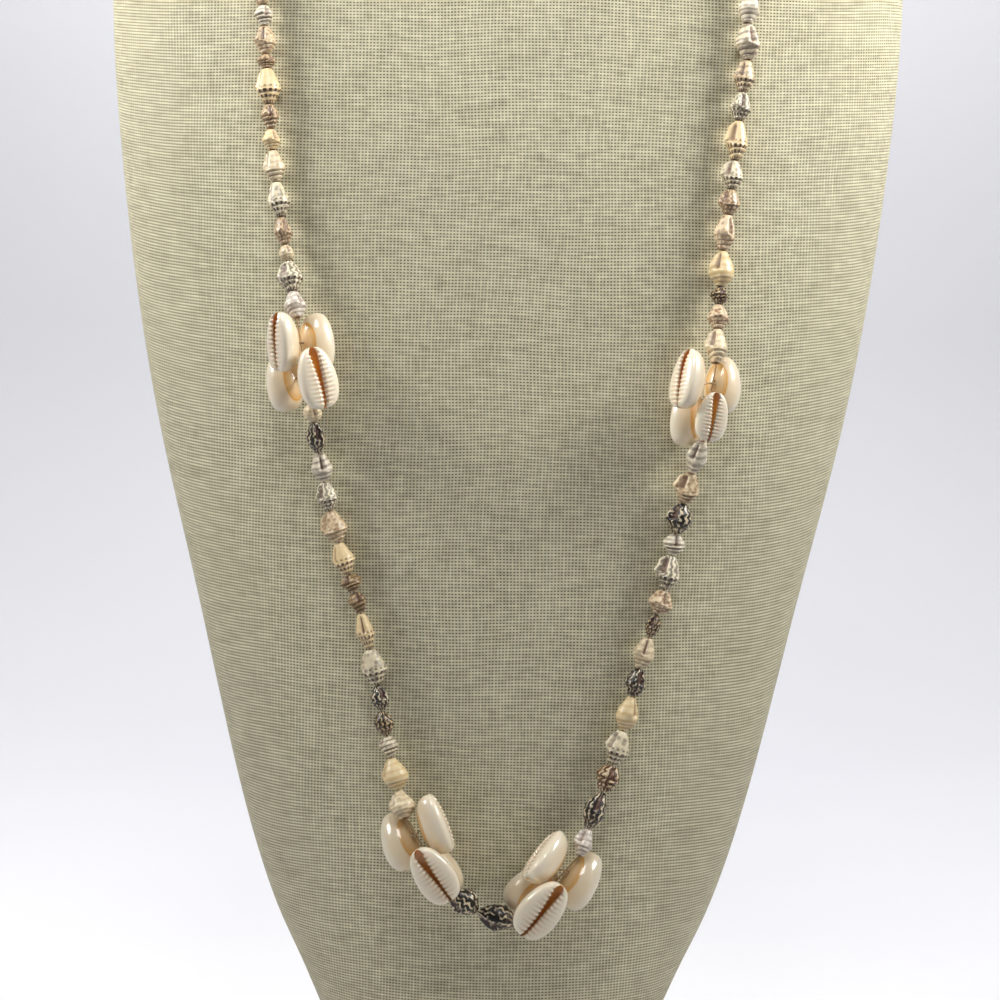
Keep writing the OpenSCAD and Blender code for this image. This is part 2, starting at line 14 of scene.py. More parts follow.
import bmesh
import bpy
import numpy as np
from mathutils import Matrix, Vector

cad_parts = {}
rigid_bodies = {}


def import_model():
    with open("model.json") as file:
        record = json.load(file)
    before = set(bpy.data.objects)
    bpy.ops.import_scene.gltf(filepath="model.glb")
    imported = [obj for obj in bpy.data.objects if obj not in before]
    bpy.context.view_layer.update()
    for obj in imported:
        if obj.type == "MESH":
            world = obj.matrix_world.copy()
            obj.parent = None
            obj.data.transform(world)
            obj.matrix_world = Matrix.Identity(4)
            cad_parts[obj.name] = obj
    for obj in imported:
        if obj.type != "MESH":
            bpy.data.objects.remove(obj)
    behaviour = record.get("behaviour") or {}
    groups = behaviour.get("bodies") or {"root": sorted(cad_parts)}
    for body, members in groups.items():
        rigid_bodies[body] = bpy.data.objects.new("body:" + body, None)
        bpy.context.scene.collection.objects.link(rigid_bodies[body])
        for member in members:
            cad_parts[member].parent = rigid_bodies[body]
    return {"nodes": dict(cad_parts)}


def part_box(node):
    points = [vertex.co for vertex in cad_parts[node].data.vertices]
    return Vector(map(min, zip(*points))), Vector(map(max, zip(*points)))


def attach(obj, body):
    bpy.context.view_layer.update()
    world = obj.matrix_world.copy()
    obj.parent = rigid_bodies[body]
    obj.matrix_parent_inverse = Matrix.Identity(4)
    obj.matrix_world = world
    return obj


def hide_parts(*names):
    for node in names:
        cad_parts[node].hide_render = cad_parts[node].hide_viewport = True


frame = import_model()

LOG = logging.getLogger("necklace")
MM = 0.001
BODY = "root"
# Nearly all of a noise pattern lies between these, so it is stretched from them to its full range
NOISE_LOW, NOISE_HIGH = 0.3, 0.7


def linear(hex_colour: str) -> tuple[float, float, float, float]:
    """Turn an sRGB hex colour into linear values.

    Args:
        hex_colour: The colour as #rrggbb.

    Returns:
        Red, green, blue and an alpha of one.
    """
    parts = [int(hex_colour[i : i + 2], 16) / 255 for i in (1, 3, 5)]
    values = [c / 12.92 if c <= 0.04045 else ((c + 0.055) / 1.055) ** 2.4 for c in parts]
    return (values[0], values[1], values[2], 1.0)


def add(tree: bpy.types.NodeTree, kind: str, links: dict | None = None, **settings: object) -> bpy.types.Node:
    """Add a node with its settings and links.

    Args:
        tree: The tree that gets the node.
        kind: The node's type name.
        links: Input names or places, each with a socket to link or a plain value.
        settings: Properties of the node.

    Returns:
        The new node.
    """
    node = tree.nodes.new(kind)
    for name, value in settings.items():
        setattr(node, name, value)
    plug(tree, node, links or {})
    return node


def plug(tree: bpy.types.NodeTree, node: bpy.types.Node, links: dict) -> None:
    """Link or set a node's inputs.

    Args:
        tree: The node's tree.
        node: The node.
        links: Input names or places, each with a socket to link or a plain value.
    """
    for place, source in links.items():
        if isinstance(source, bpy.types.NodeSocket):
            tree.links.new(source, node.inputs[place])
        else:
            node.inputs[place].default_value = source


def begin(name: str) -> tuple[bpy.types.Material, bpy.types.NodeTree, bpy.types.Node]:
    """Start a procedural material.

    Args:
        name: The material's name.

    Returns:
        The material, its tree and its shader.
    """
    mat = bpy.data.materials.new(name)
    mat.use_nodes = True
    return mat, mat.node_tree, mat.node_tree.nodes["Principled BSDF"]


def mesh_object(name: str, points: np.ndarray, faces: list, smooth: bool = True) -> bpy.types.Object:
    """Make an object from points and faces, in place.

    Args:
        name: The object's name.
        points: One row for each point, in metres.
        faces: Point numbers of each face.
        smooth: Whether the faces are shaded smooth.

    Returns:
        The new object, linked to the scene.
    """
    mesh = bpy.data.meshes.new(name)
    mesh.from_pydata(points.tolist(), [], faces)
    mesh.polygons.foreach_set("use_smooth", [smooth] * len(mesh.polygons))
    mesh.update()
    item = bpy.data.objects.new(name, mesh)
    bpy.context.scene.collection.objects.link(item)
    return item


def store(mesh: bpy.types.Mesh, name: str, values: np.ndarray) -> None:
    """Store one number for each point of a mesh as a named attribute.

    Args:
        mesh: The mesh that gets the attribute.
        name: The attribute's name.
        values: The numbers, one for each point, or three for a vector.
    """
    kind, key = ("FLOAT_VECTOR", "vector") if values.ndim == 2 else ("FLOAT", "value")
    mesh.attributes.new(name, kind, "POINT").data.foreach_set(key, values.astype(np.float32).ravel())


def welded(node: str) -> tuple[np.ndarray, np.ndarray]:
    """Read a frame node's mesh with its doubled points joined.

    Args:
        node: The node's name.

    Returns:
        The points, and the point numbers of each triangle.
    """
    mesh = bmesh.new()
    mesh.from_mesh(frame["nodes"][node].data)
    bmesh.ops.remove_doubles(mesh, verts=mesh.verts, dist=1e-6)
    bmesh.ops.triangulate(mesh, faces=mesh.faces)
    mesh.verts.ensure_lookup_table()
    points = np.array([v.co for v in mesh.verts], dtype=float)
    faces = np.array([[v.index for v in f.verts] for f in mesh.faces])
    mesh.free()
    return points, faces


def ease(values: np.ndarray, start: float, end: float) -> np.ndarray:
    """Rise smoothly from 0 at start to 1 at end."""
    k = np.clip((values - start) / (end - start), 0, 1)
    return k * k * (3 - 2 * k)


def between_knots(knots: list, at: np.ndarray) -> np.ndarray:
    """Follow a smooth line through knots.

    Args:
        knots: Pairs of place and value, in rising order.
        at: The places to read.

    Returns:
        The values there.
    """
    x, y = np.array(knots, dtype=float).T
    slopes = np.gradient(y, x)
    i = np.clip(np.searchsorted(x, at, side="right") - 1, 0, len(x) - 2)
    h = x[i + 1] - x[i]
    k = np.clip((at - x[i]) / h, 0, 1)
    a = (1 + 2 * k) * (1 - k) ** 2 * y[i] + k * k * (3 - 2 * k) * y[i + 1]
    return a + h * slopes[i] * k * (1 - k) ** 2 - h * slopes[i + 1] * k * k * (1 - k)


def tube_faces(rings: int, sides: int, closed_along: bool = False) -> list[tuple[int, int, int, int]]:
    """Join rings of points into a tube of four-sided faces.

    Args:
        rings: How many rings there are.
        sides: How many points a ring has.
        closed_along: Whether the last ring meets the first.

    Returns:
        The point numbers of each face.
    """
    last = rings if closed_along else rings - 1
    faces = []
    for i in range(last):
        for j in range(sides):
            a, b = i * sides + j, i * sides + (j + 1) % sides
            c, d = ((i + 1) % rings) * sides + j, ((i + 1) % rings) * sides + (j + 1) % sides
            faces.append((a, b, d, c))
    return faces


class Slot(Enum):
    """The record's material slots."""

    LINEN = "linen"
    THREAD = "thread"
    SMALL_SHELL = "small_shell"
    COWRIE = "cowrie"


def own(piece: bpy.types.Object, slot: Slot, *nodes: str) -> None:
    """Fix a finished piece to the body and hide the frame nodes that it stands for.

    Args:
        piece: The finished piece.
        slot: Not used.
        nodes: The frame nodes that it replaces.
    """
    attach(piece, BODY)
    if nodes:
        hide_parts(*nodes)


@dataclass(frozen=True)
class WovenLinen:
    """Unbleached linen in plain weave. Painted shade darkens the gaps between its round, uneven threads into
    dark dots, and the thicker weft gives it a fine ribbed look from side to side."""

    light: str = "#e6e0c2"
    shade: str = "#c6bfa1"
    drift: str = "#c2bbab"
    # Painted shade, laid in the gaps between the threads
    gap_shade: str = "#2f2818"
    # The real warp is about 0.82 mm. One that fine doesn't show in the render, so it is drawn coarser.
    warp_pitch: float = 0.94 * MM
    weft_pitch: float = 0.87 * MM
    # Powers that round each thread's top: the warp is thin beside its gaps, the weft thick
    warp_round: float = 1.45
    weft_round: float = 0.7
    # A slub is about 6 threads long and makes its thread thinner or thicker by these shares
    slub_run: float = 0.09
    slub_scale: float = 1.7
    slub_least: float = 0.92
    slub_most: float = 1.09
    # The threads wander by this much over waves of this size
    wander: float = 3.5 * MM
    wander_size: float = 55.56 * MM
    # Dull patches, how much they dull, and the noise between which they fade in
    patch_size: float = 45.45 * MM
    patch_share: float = 0.15
    patch_low: float = 0.52
    patch_high: float = 0.78
    # Loose fibres, so many to a thread
    fibres: float = 2.2
    # How much the weft's slubs and the fibres tell in the tone beside the warp's, and their sum's range
    weft_tells: float = 1.4
    fibre_tells: float = 0.9
    tone_low: float = 1.2
    tone_high: float = 2.1
    # Heights between which the painted shade in the gaps gives way to thread
    gap_low: float = 0.4
    gap_high: float = 0.92
    relief: float = 0.12 * MM
    relief_share: float = 0.14
    roughness: float = 0.92

    def thread_set(
        self, tree: bpy.types.NodeTree, axes: bpy.types.Node, along: str, across: str, thin: float
    ) -> tuple[bpy.types.NodeSocket, bpy.types.NodeSocket]:
        """Draw one set of parallel threads, each with its own slubs.

        Args:
            tree: The material's tree.
            axes: The cloth's map, counted in threads.
            along: The axis that counts the threads.
            across: The axis that runs down each thread.
            thin: How thin the threads are beside the room between them.

        Returns:
            The threads' height and their tone.
        """
        count, down = axes.outputs[along], axes.outputs[across]
        turn = add(tree, "ShaderNodeMath", {0: count, 1: math.pi}, operation="MULTIPLY").outputs[0]
        wave = add(tree, "ShaderNodeMath", {0: turn}, operation="SINE").outputs[0]
        size = add(tree, "ShaderNodeMath", {0: wave}, operation="ABSOLUTE").outputs[0]
        top = add(tree, "ShaderNodeMath", {0: size, 1: thin}, operation="POWER").outputs[0]
        row = add(tree, "ShaderNodeMath", {0: count}, operation="FLOOR").outputs[0]
        run = add(tree, "ShaderNodeMath", {0: down, 1: self.slub_run}, operation="MULTIPLY").outputs[0]
        # Each set takes its slubs from a layer of its own, so that the two don't match
        layer = 3.0 if along == "X" else 11.0
        spot = add(tree, "ShaderNodeCombineXYZ", {0: row, 1: run, 2: layer}).outputs[0]
        slub = add(
            tree, "ShaderNodeTexNoise", {"Vector": spot, "Scale": self.slub_scale, "Detail": 2.0}
        ).outputs["Fac"]
        ends = {1: NOISE_LOW, 2: NOISE_HIGH, 3: self.slub_least, 4: self.slub_most}
        width = add(tree, "ShaderNodeMapRange", {"Value": slub} | ends).outputs[0]
        return add(tree, "ShaderNodeMath", {0: top, 1: width}, operation="MULTIPLY").outputs[0], slub

    def material(self) -> bpy.types.Material:
        """Build the cloth from its weave map, one unit of which is a metre of cloth.

        Returns:
            The material.
        """
        mat, tree, shader = begin("woven_linen")
        cloth = add(tree, "ShaderNodeUVMap", uv_map="weave").outputs[0]
        sway = add(
            tree, "ShaderNodeTexNoise", {"Vector": cloth, "Scale": 1 / self.wander_size, "Detail": 1.0}
        ).outputs["Color"]
        centred = add(tree, "ShaderNodeVectorMath", {0: sway, 1: (0.5, 0.5, 0.5)}, operation="SUBTRACT")
        pull = add(
            tree, "ShaderNodeVectorMath", {0: centred.outputs[0], "Scale": self.wander}, operation="SCALE"
        ).outputs[0]
        moved = add(tree, "ShaderNodeVectorMath", {0: cloth, 1: pull}, operation="ADD").outputs[0]
        threads = (1 / self.warp_pitch, 1 / self.weft_pitch, 1.0)
        counted = add(tree, "ShaderNodeMapping", {"Vector": moved, "Scale": threads}).outputs[0]
        axes = add(tree, "ShaderNodeSeparateXYZ", {0: counted})
        warp, warp_tone = self.thread_set(tree, axes, "X", "Y", self.warp_round)
        weft, weft_tone = self.thread_set(tree, axes, "Y", "X", self.weft_round)
        relief = add(tree, "ShaderNodeMath", {0: warp, 1: weft}, operation="MAXIMUM").outputs[0]
        fibre = add(
            tree, "ShaderNodeTexNoise", {"Vector": counted, "Scale": self.fibres, "Detail": 3.0}
        ).outputs["Fac"]
        # The weft's slubs tell most in the tone, then the warp's, then the loose fibres
        tone = add(
            tree, "ShaderNodeMath", {0: weft_tone, 1: self.weft_tells, 2: warp_tone}, operation="MULTIPLY_ADD"
        ).outputs[0]
        mixed = add(
            tree, "ShaderNodeMath", {0: fibre, 1: self.fibre_tells, 2: tone}, operation="MULTIPLY_ADD"
        ).outputs[0]
        share = add(
            tree, "ShaderNodeMapRange", {"Value": mixed, 1: self.tone_low, 2: self.tone_high}
        ).outputs[0]
        thread = add(
            tree, "ShaderNodeMix", {0: share, 6: linear(self.shade), 7: linear(self.light)}, data_type="RGBA"
        ).outputs[2]
        cloud = add(
            tree, "ShaderNodeTexNoise", {"Vector": cloth, "Scale": 1 / self.patch_size, "Detail": 2.0}
        ).outputs["Fac"]
        ends = {1: self.patch_low, 2: self.patch_high, 4: self.patch_share}
        patch = add(tree, "ShaderNodeMapRange", {"Value": cloud} | ends).outputs[0]
        dulled = add(
            tree, "ShaderNodeMix", {0: patch, 6: thread, 7: linear(self.drift)}, data_type="RGBA"
        ).outputs[2]
        # Where the threads lie low, the gaps get the dark painted shade
        depth = add(
            tree, "ShaderNodeMapRange", {"Value": relief, 1: self.gap_low, 2: self.gap_high}
        ).outputs[0]
        colour = add(
            tree, "ShaderNodeMix", {0: depth, 6: linear(self.gap_shade), 7: dulled}, data_type="RGBA"
        ).outputs[2]
        bump = add(
            tree, "ShaderNodeBump", {"Height": relief, "Strength": self.relief_share, "Distance": self.relief}
        )
        plug(tree, shader, {
            "Base Color": colour,
            "Normal": bump.outputs[0],
            "Roughness": self.roughness,
            "Specular IOR Level": 0.2,
            "Sheen Weight": 0.08,
        })
        return mat


@dataclass(frozen=True)
class PolishedCowrie:
    """Tumbled ring cowrie. Its own enamel gives a wet gloss, a cream margin and an orange ring."""

    margin: str = "#efe3cc"
    flank: str = "#e8d3b0"
    ring: str = "#dd9c0c"
    saddle: str = "#e2bd84"
    # Painted shade between the teeth and on the lip where it rolls into the slit
    tooth_gap: str = "#dab48a"
    hollow: str = "#f7b04a"
    # Each tint fades in and out over clouds of this size, down to its least share
    cloud_size: float = 3.846 * MM
    least: float = 0.72
    least_strong: float = 0.95
    # From shell to shell the tone differs by these shares
    darkest: float = 0.93
    lightest: float = 1.04
    # The enamel isn't quite even, which breaks the windows' reflections into short lines
    ripple_size: float = 3.03 * MM
    ripple: float = 0.35 * MM
    ripple_share: float = 0.55

    def material(self) -> bpy.types.Material:
        """Build the enamel from the shell's own masks.

        Returns:
            The material.
        """
        mat, tree, shader = begin("polished_cowrie_enamel")
        masks = {
            name: add(tree, "ShaderNodeAttribute", attribute_name=name).outputs["Fac"]
            for name in ("flank", "ring", "saddle", "tooth_gap", "hollow", "tint")
        }
        place = add(tree, "ShaderNodeTexCoord").outputs["Object"]
        cloud = add(
            tree, "ShaderNodeTexNoise", {"Vector": place, "Scale": 1 / self.cloud_size, "Detail": 3.0}
        ).outputs["Fac"]
        colour = linear(self.margin)
        for name in ("flank", "saddle", "ring", "tooth_gap", "hollow"):
            least = self.least_strong if name in ("hollow", "ring") else self.least
            ends = {1: NOISE_LOW, 2: NOISE_HIGH, 3: least, 4: 1.0}
            amount = add(tree, "ShaderNodeMapRange", {"Value": cloud} | ends).outputs[0]
            share = add(tree, "ShaderNodeMath", {0: masks[name], 1: amount}, operation="MULTIPLY").outputs[0]
            tint = linear(getattr(self, name))
            colour = add(tree, "ShaderNodeMix", {0: share, 6: colour, 7: tint}, data_type="RGBA").outputs[2]
        shift = add(
            tree, "ShaderNodeMapRange", {"Value": masks["tint"], 3: self.darkest, 4: self.lightest}
        ).outputs[0]
        final = add(tree, "ShaderNodeHueSaturation", {"Value": shift, "Color": colour}).outputs[0]
        ripple = add(
            tree, "ShaderNodeTexNoise", {"Vector": place, "Scale": 1 / self.ripple_size, "Detail": 1.0}
        ).outputs["Fac"]
        uneven = add(
            tree, "ShaderNodeBump", {"Height": ripple, "Strength": self.ripple_share, "Distance": self.ripple}
        )
        plug(tree, shader, {
            "Base Color": final,
            "Coat Normal": uneven.outputs[0],
            "Roughness": 0.34,
            "IOR": 1.5,
            "Coat Weight": 1.0,
            "Coat Roughness": 0.035,
            "Subsurface Weight": 0.18,
            "Subsurface Radius": (1.0, 0.55, 0.3),
            "Subsurface Scale": 1.2 * MM,
        })
        return mat


@dataclass(frozen=True)
class NaturalShell:
    """Small whelks strung as found. Their unpolished lime gives a satin chalk, spotted and banded."""

    # Painted shade in the mouth's recess and the bore
    mouth: str = "#7d5a50"
    # Painted shade in the grooves between the whorls
    groove_shade: str = "#7a6250"
    # How many dashes and flames go round a shell, and how many bands, rows and zigzags along it
    dashes_round: int = 13
    flames_round: int = 11
    bands_along: float = 4.6
    rows_along: float = 6.37
    zigzags_along: float = 4.3
    # A shell is about this much longer than its radius, so the cells are as long as they are wide
    long: float = 2.7
    # Speckles: cells to a radius, how far they stray from rows, and how far from a cell's middle they fade
    cells: float = 2.3
    stray: float = 0.8
    speckle_fade: tuple[float, float] = (0.55, 0.25)
    # How far noise bends the dashes, flames and bands, and how far the flames swing
    dash_bend: float = 3.0
    flame_bend: float = 9.0
    flame_swing: float = 1.1
    band_bend: float = 2.0
    # Heights of each wave between which a mark fades in
    dash_fade: tuple[float, float] = (-0.1, 0.25)
    row_fade: tuple[float, float] = (-0.35, 0.1)
    flame_fade: tuple[float, float] = (-0.5, 0.3)
    band_fade: tuple[float, float] = (0.0, 0.6)
    # The dashes start this far along the shell
    dash_from: tuple[float, float] = (0.48, 0.56)
    # Sizes of the worn spots, of the blotches and of the lime's grain
    wear_size: float = 1.111 * MM
    blotch_size: float = 2.381 * MM
    blotch_dark: float = 0.84
    blotch_light: float = 1.06
    grain_size: float = 0.6667 * MM
    grain_high: float = 0.12 * MM
    grain_share: float = 0.5
    # How much of a mark is left where it is worn, up to which noise, and how strongly the painted shade in the
    # grooves shows
    worn_share: float = 0.7
    worn_to: float = 0.48
    groove_shade_share: float = 0.8
    roughness: float = 0.4

    def masks(
        self, tree: bpy.types.NodeTree, local: bpy.types.NodeSocket, seed: bpy.types.NodeSocket
    ) -> list[bpy.types.NodeSocket]:
        """Draw the four kinds of mark on the shell's own form.

        Args:
            tree: The material's tree.
            local: The place on the base shell, one long and one in radius.
            seed: The shell's own number.

        Returns:
            Masks of the speckles, dashes, flames and bands.
        """
        across, deep, along = add(tree, "ShaderNodeSeparateXYZ", {0: local}).outputs
        apart = add(tree, "ShaderNodeCombineXYZ", {0: seed, 1: seed, 2: seed}).outputs[0]
        place = add(
            tree, "ShaderNodeMapping", {"Vector": local, "Location": apart, "Scale": (1, 1, self.long)}
        ).outputs[0]
        angle = add(tree, "ShaderNodeMath", {0: deep, 1: across}, operation="ARCTAN2").outputs[0]
        warp = add(tree, "ShaderNodeTexNoise", {"Vector": place, "Scale": 3.0, "Detail": 2.0}).outputs["Fac"]
        # Each mark repeats this often round the shell or along it, as an angle
        fan, spread, row, zigzag, lap = (
            add(tree, "ShaderNodeMath", {0: source, 1: factor}, operation="MULTIPLY").outputs[0]
            for source, factor in (
                (angle, float(self.dashes_round)), (angle, float(self.flames_round)),
                (along, math.tau * self.rows_along), (along, math.tau * self.zigzags_along),
                (along, math.tau * self.bands_along),
            )
        )
        cells = add(
            tree, "ShaderNodeTexVoronoi", {"Vector": place, "Scale": self.cells, "Randomness": self.stray}
        ).outputs["Distance"]
        # Dashes stand in rows round the shell, on the half with the spire
        tick = add(
            tree, "ShaderNodeMath", {0: warp, 1: self.dash_bend, 2: fan}, operation="MULTIPLY_ADD"
        ).outputs[0]
        beat = add(tree, "ShaderNodeMath", {0: tick}, operation="SINE").outputs[0]
        rise = add(tree, "ShaderNodeMath", {0: row}, operation="SINE").outputs[0]
        # Flames run along the shell in zigzags
        swing = add(tree, "ShaderNodeMath", {0: zigzag}, operation="SINE").outputs[0]
        bent = add(
            tree, "ShaderNodeMath", {0: swing, 1: self.flame_swing, 2: spread}, operation="MULTIPLY_ADD"
        ).outputs[0]
        waved = add(
            tree, "ShaderNodeMath", {0: warp, 1: self.flame_bend, 2: bent}, operation="MULTIPLY_ADD"
        ).outputs[0]
        stripe = add(tree, "ShaderNodeMath", {0: waved}, operation="SINE").outputs[0]
        # Bands wind round with the whorls
        wound = add(tree, "ShaderNodeMath", {0: lap, 1: angle}, operation="SUBTRACT").outputs[0]
        loose = add(
            tree, "ShaderNodeMath", {0: warp, 1: self.band_bend, 2: wound}, operation="MULTIPLY_ADD"
        ).outputs[0]
        ribbon = add(tree, "ShaderNodeMath", {0: loose}, operation="SINE").outputs[0]
        speckles, ticks, lines, belt, flames, bands = (
            add(tree, "ShaderNodeMapRange", {"Value": source, 1: fade[0], 2: fade[1]}).outputs[0]
            for source, fade in (
                (cells, self.speckle_fade), (beat, self.dash_fade), (rise, self.row_fade),
                (along, self.dash_from), (stripe, self.flame_fade), (ribbon, self.band_fade),
            )
        )
        belted = add(tree, "ShaderNodeMath", {0: ticks, 1: belt}, operation="MULTIPLY").outputs[0]
        dashes = add(tree, "ShaderNodeMath", {0: belted, 1: lines}, operation="MULTIPLY").outputs[0]
        return [speckles, dashes, flames, bands]

    def material(self) -> bpy.types.Material:
        """Build the shell's paint from its own form and tones.

        Returns:
            The material.
        """
        mat, tree, shader = begin("natural_whelk_shell")
        vectors = {
            name: add(tree, "ShaderNodeAttribute", attribute_name=name).outputs["Vector"]
            for name in ("local", "base_tone", "mark_tone", "pattern")
        }
        read = {
            name: add(tree, "ShaderNodeAttribute", attribute_name=name).outputs["Fac"]
            for name in ("groove", "mouth", "seed", "bands")
        }
        place = add(tree, "ShaderNodeTexCoord").outputs["Object"]
        wear, blotch, grain = (
            add(
                tree, "ShaderNodeTexNoise", {"Vector": place, "Scale": 1 / size, "Detail": detail}
            ).outputs["Fac"]
            for size, detail in ((self.wear_size, 3.0), (self.blotch_size, 2.0), (self.grain_size, 2.0))
        )
        share = add(tree, "ShaderNodeSeparateXYZ", {0: vectors["pattern"]})
        parts = list(share.outputs) + [read["bands"]]
        marks = None
        for mask, part in zip(self.masks(tree, vectors["local"], read["seed"]), parts):
            shown = add(tree, "ShaderNodeMath", {0: mask, 1: part}, operation="MULTIPLY").outputs[0]
            if marks is None:
                marks = shown
            else:
                marks = add(tree, "ShaderNodeMath", {0: marks, 1: shown}, operation="MAXIMUM").outputs[0]
        ends = {1: NOISE_LOW, 2: self.worn_to, 3: self.worn_share, 4: 1.0}
        worn = add(tree, "ShaderNodeMapRange", {"Value": wear} | ends).outputs[0]
        amount = add(tree, "ShaderNodeMath", {0: marks, 1: worn}, operation="MULTIPLY").outputs[0]
        ends = {1: NOISE_LOW, 2: NOISE_HIGH, 3: self.blotch_dark, 4: self.blotch_light}
        light = add(tree, "ShaderNodeMapRange", {"Value": blotch} | ends).outputs[0]
        colour = add(
            tree, "ShaderNodeHueSaturation", {"Value": light, "Color": vectors["base_tone"]}
        ).outputs[0]
        painted_groove_shade = add(
            tree, "ShaderNodeMath", {0: read["groove"], 1: self.groove_shade_share}, operation="MULTIPLY"
        ).outputs[0]
        # Painted shade darkens the grooves between the whorls, the mouth's recess and the bore
        for part, tint in (
            (amount, vectors["mark_tone"]), (painted_groove_shade, linear(self.groove_shade)), (read["mouth"], linear(self.mouth)),
        ):
            colour = add(tree, "ShaderNodeMix", {0: part, 6: colour, 7: tint}, data_type="RGBA").outputs[2]
        bump = add(
            tree, "ShaderNodeBump", {"Height": grain, "Strength": self.grain_share, "Distance": self.grain_high}
        )
        plug(tree, shader, {
            "Base Color": colour,
            "Normal": bump.outputs[0],
            "Roughness": self.roughness,
            "IOR": 1.53,
            "Coat Weight": 0.15,
            "Coat Roughness": 0.2,
        })
        return mat


@dataclass(frozen=True)
class ClearNylon:
    """Drawn nylon line. It is smooth and half clear, and shows as thin bright lines.
    Its warm tan is a painted reflection of the shells round it.
    """

    # Painted reflection: the clear line is given the shells' warm tan
    tone: str = "#c9a67a"
    bright: str = "#e2cfae"
    change_size: float = 3.333 * MM
    roughness: float = 0.18

    def material(self) -> bpy.types.Material:
        """Build the line with a faint change of tone along it.

        Returns:
            The material.
        """
        mat, tree, shader = begin("drawn_nylon_line")
        place = add(tree, "ShaderNodeTexCoord").outputs["Object"]
        change = add(
            tree, "ShaderNodeTexNoise", {"Vector": place, "Scale": 1 / self.change_size}
        ).outputs["Fac"]
        colour = add(
            tree, "ShaderNodeMix", {0: change, 6: linear(self.tone), 7: linear(self.bright)}, data_type="RGBA"
        ).outputs[2]
        plug(tree, shader, {
            "Base Color": colour,
            "Roughness": self.roughness,
            "IOR": 1.53,
            "Transmission Weight": 0.6,
        })
        return mat


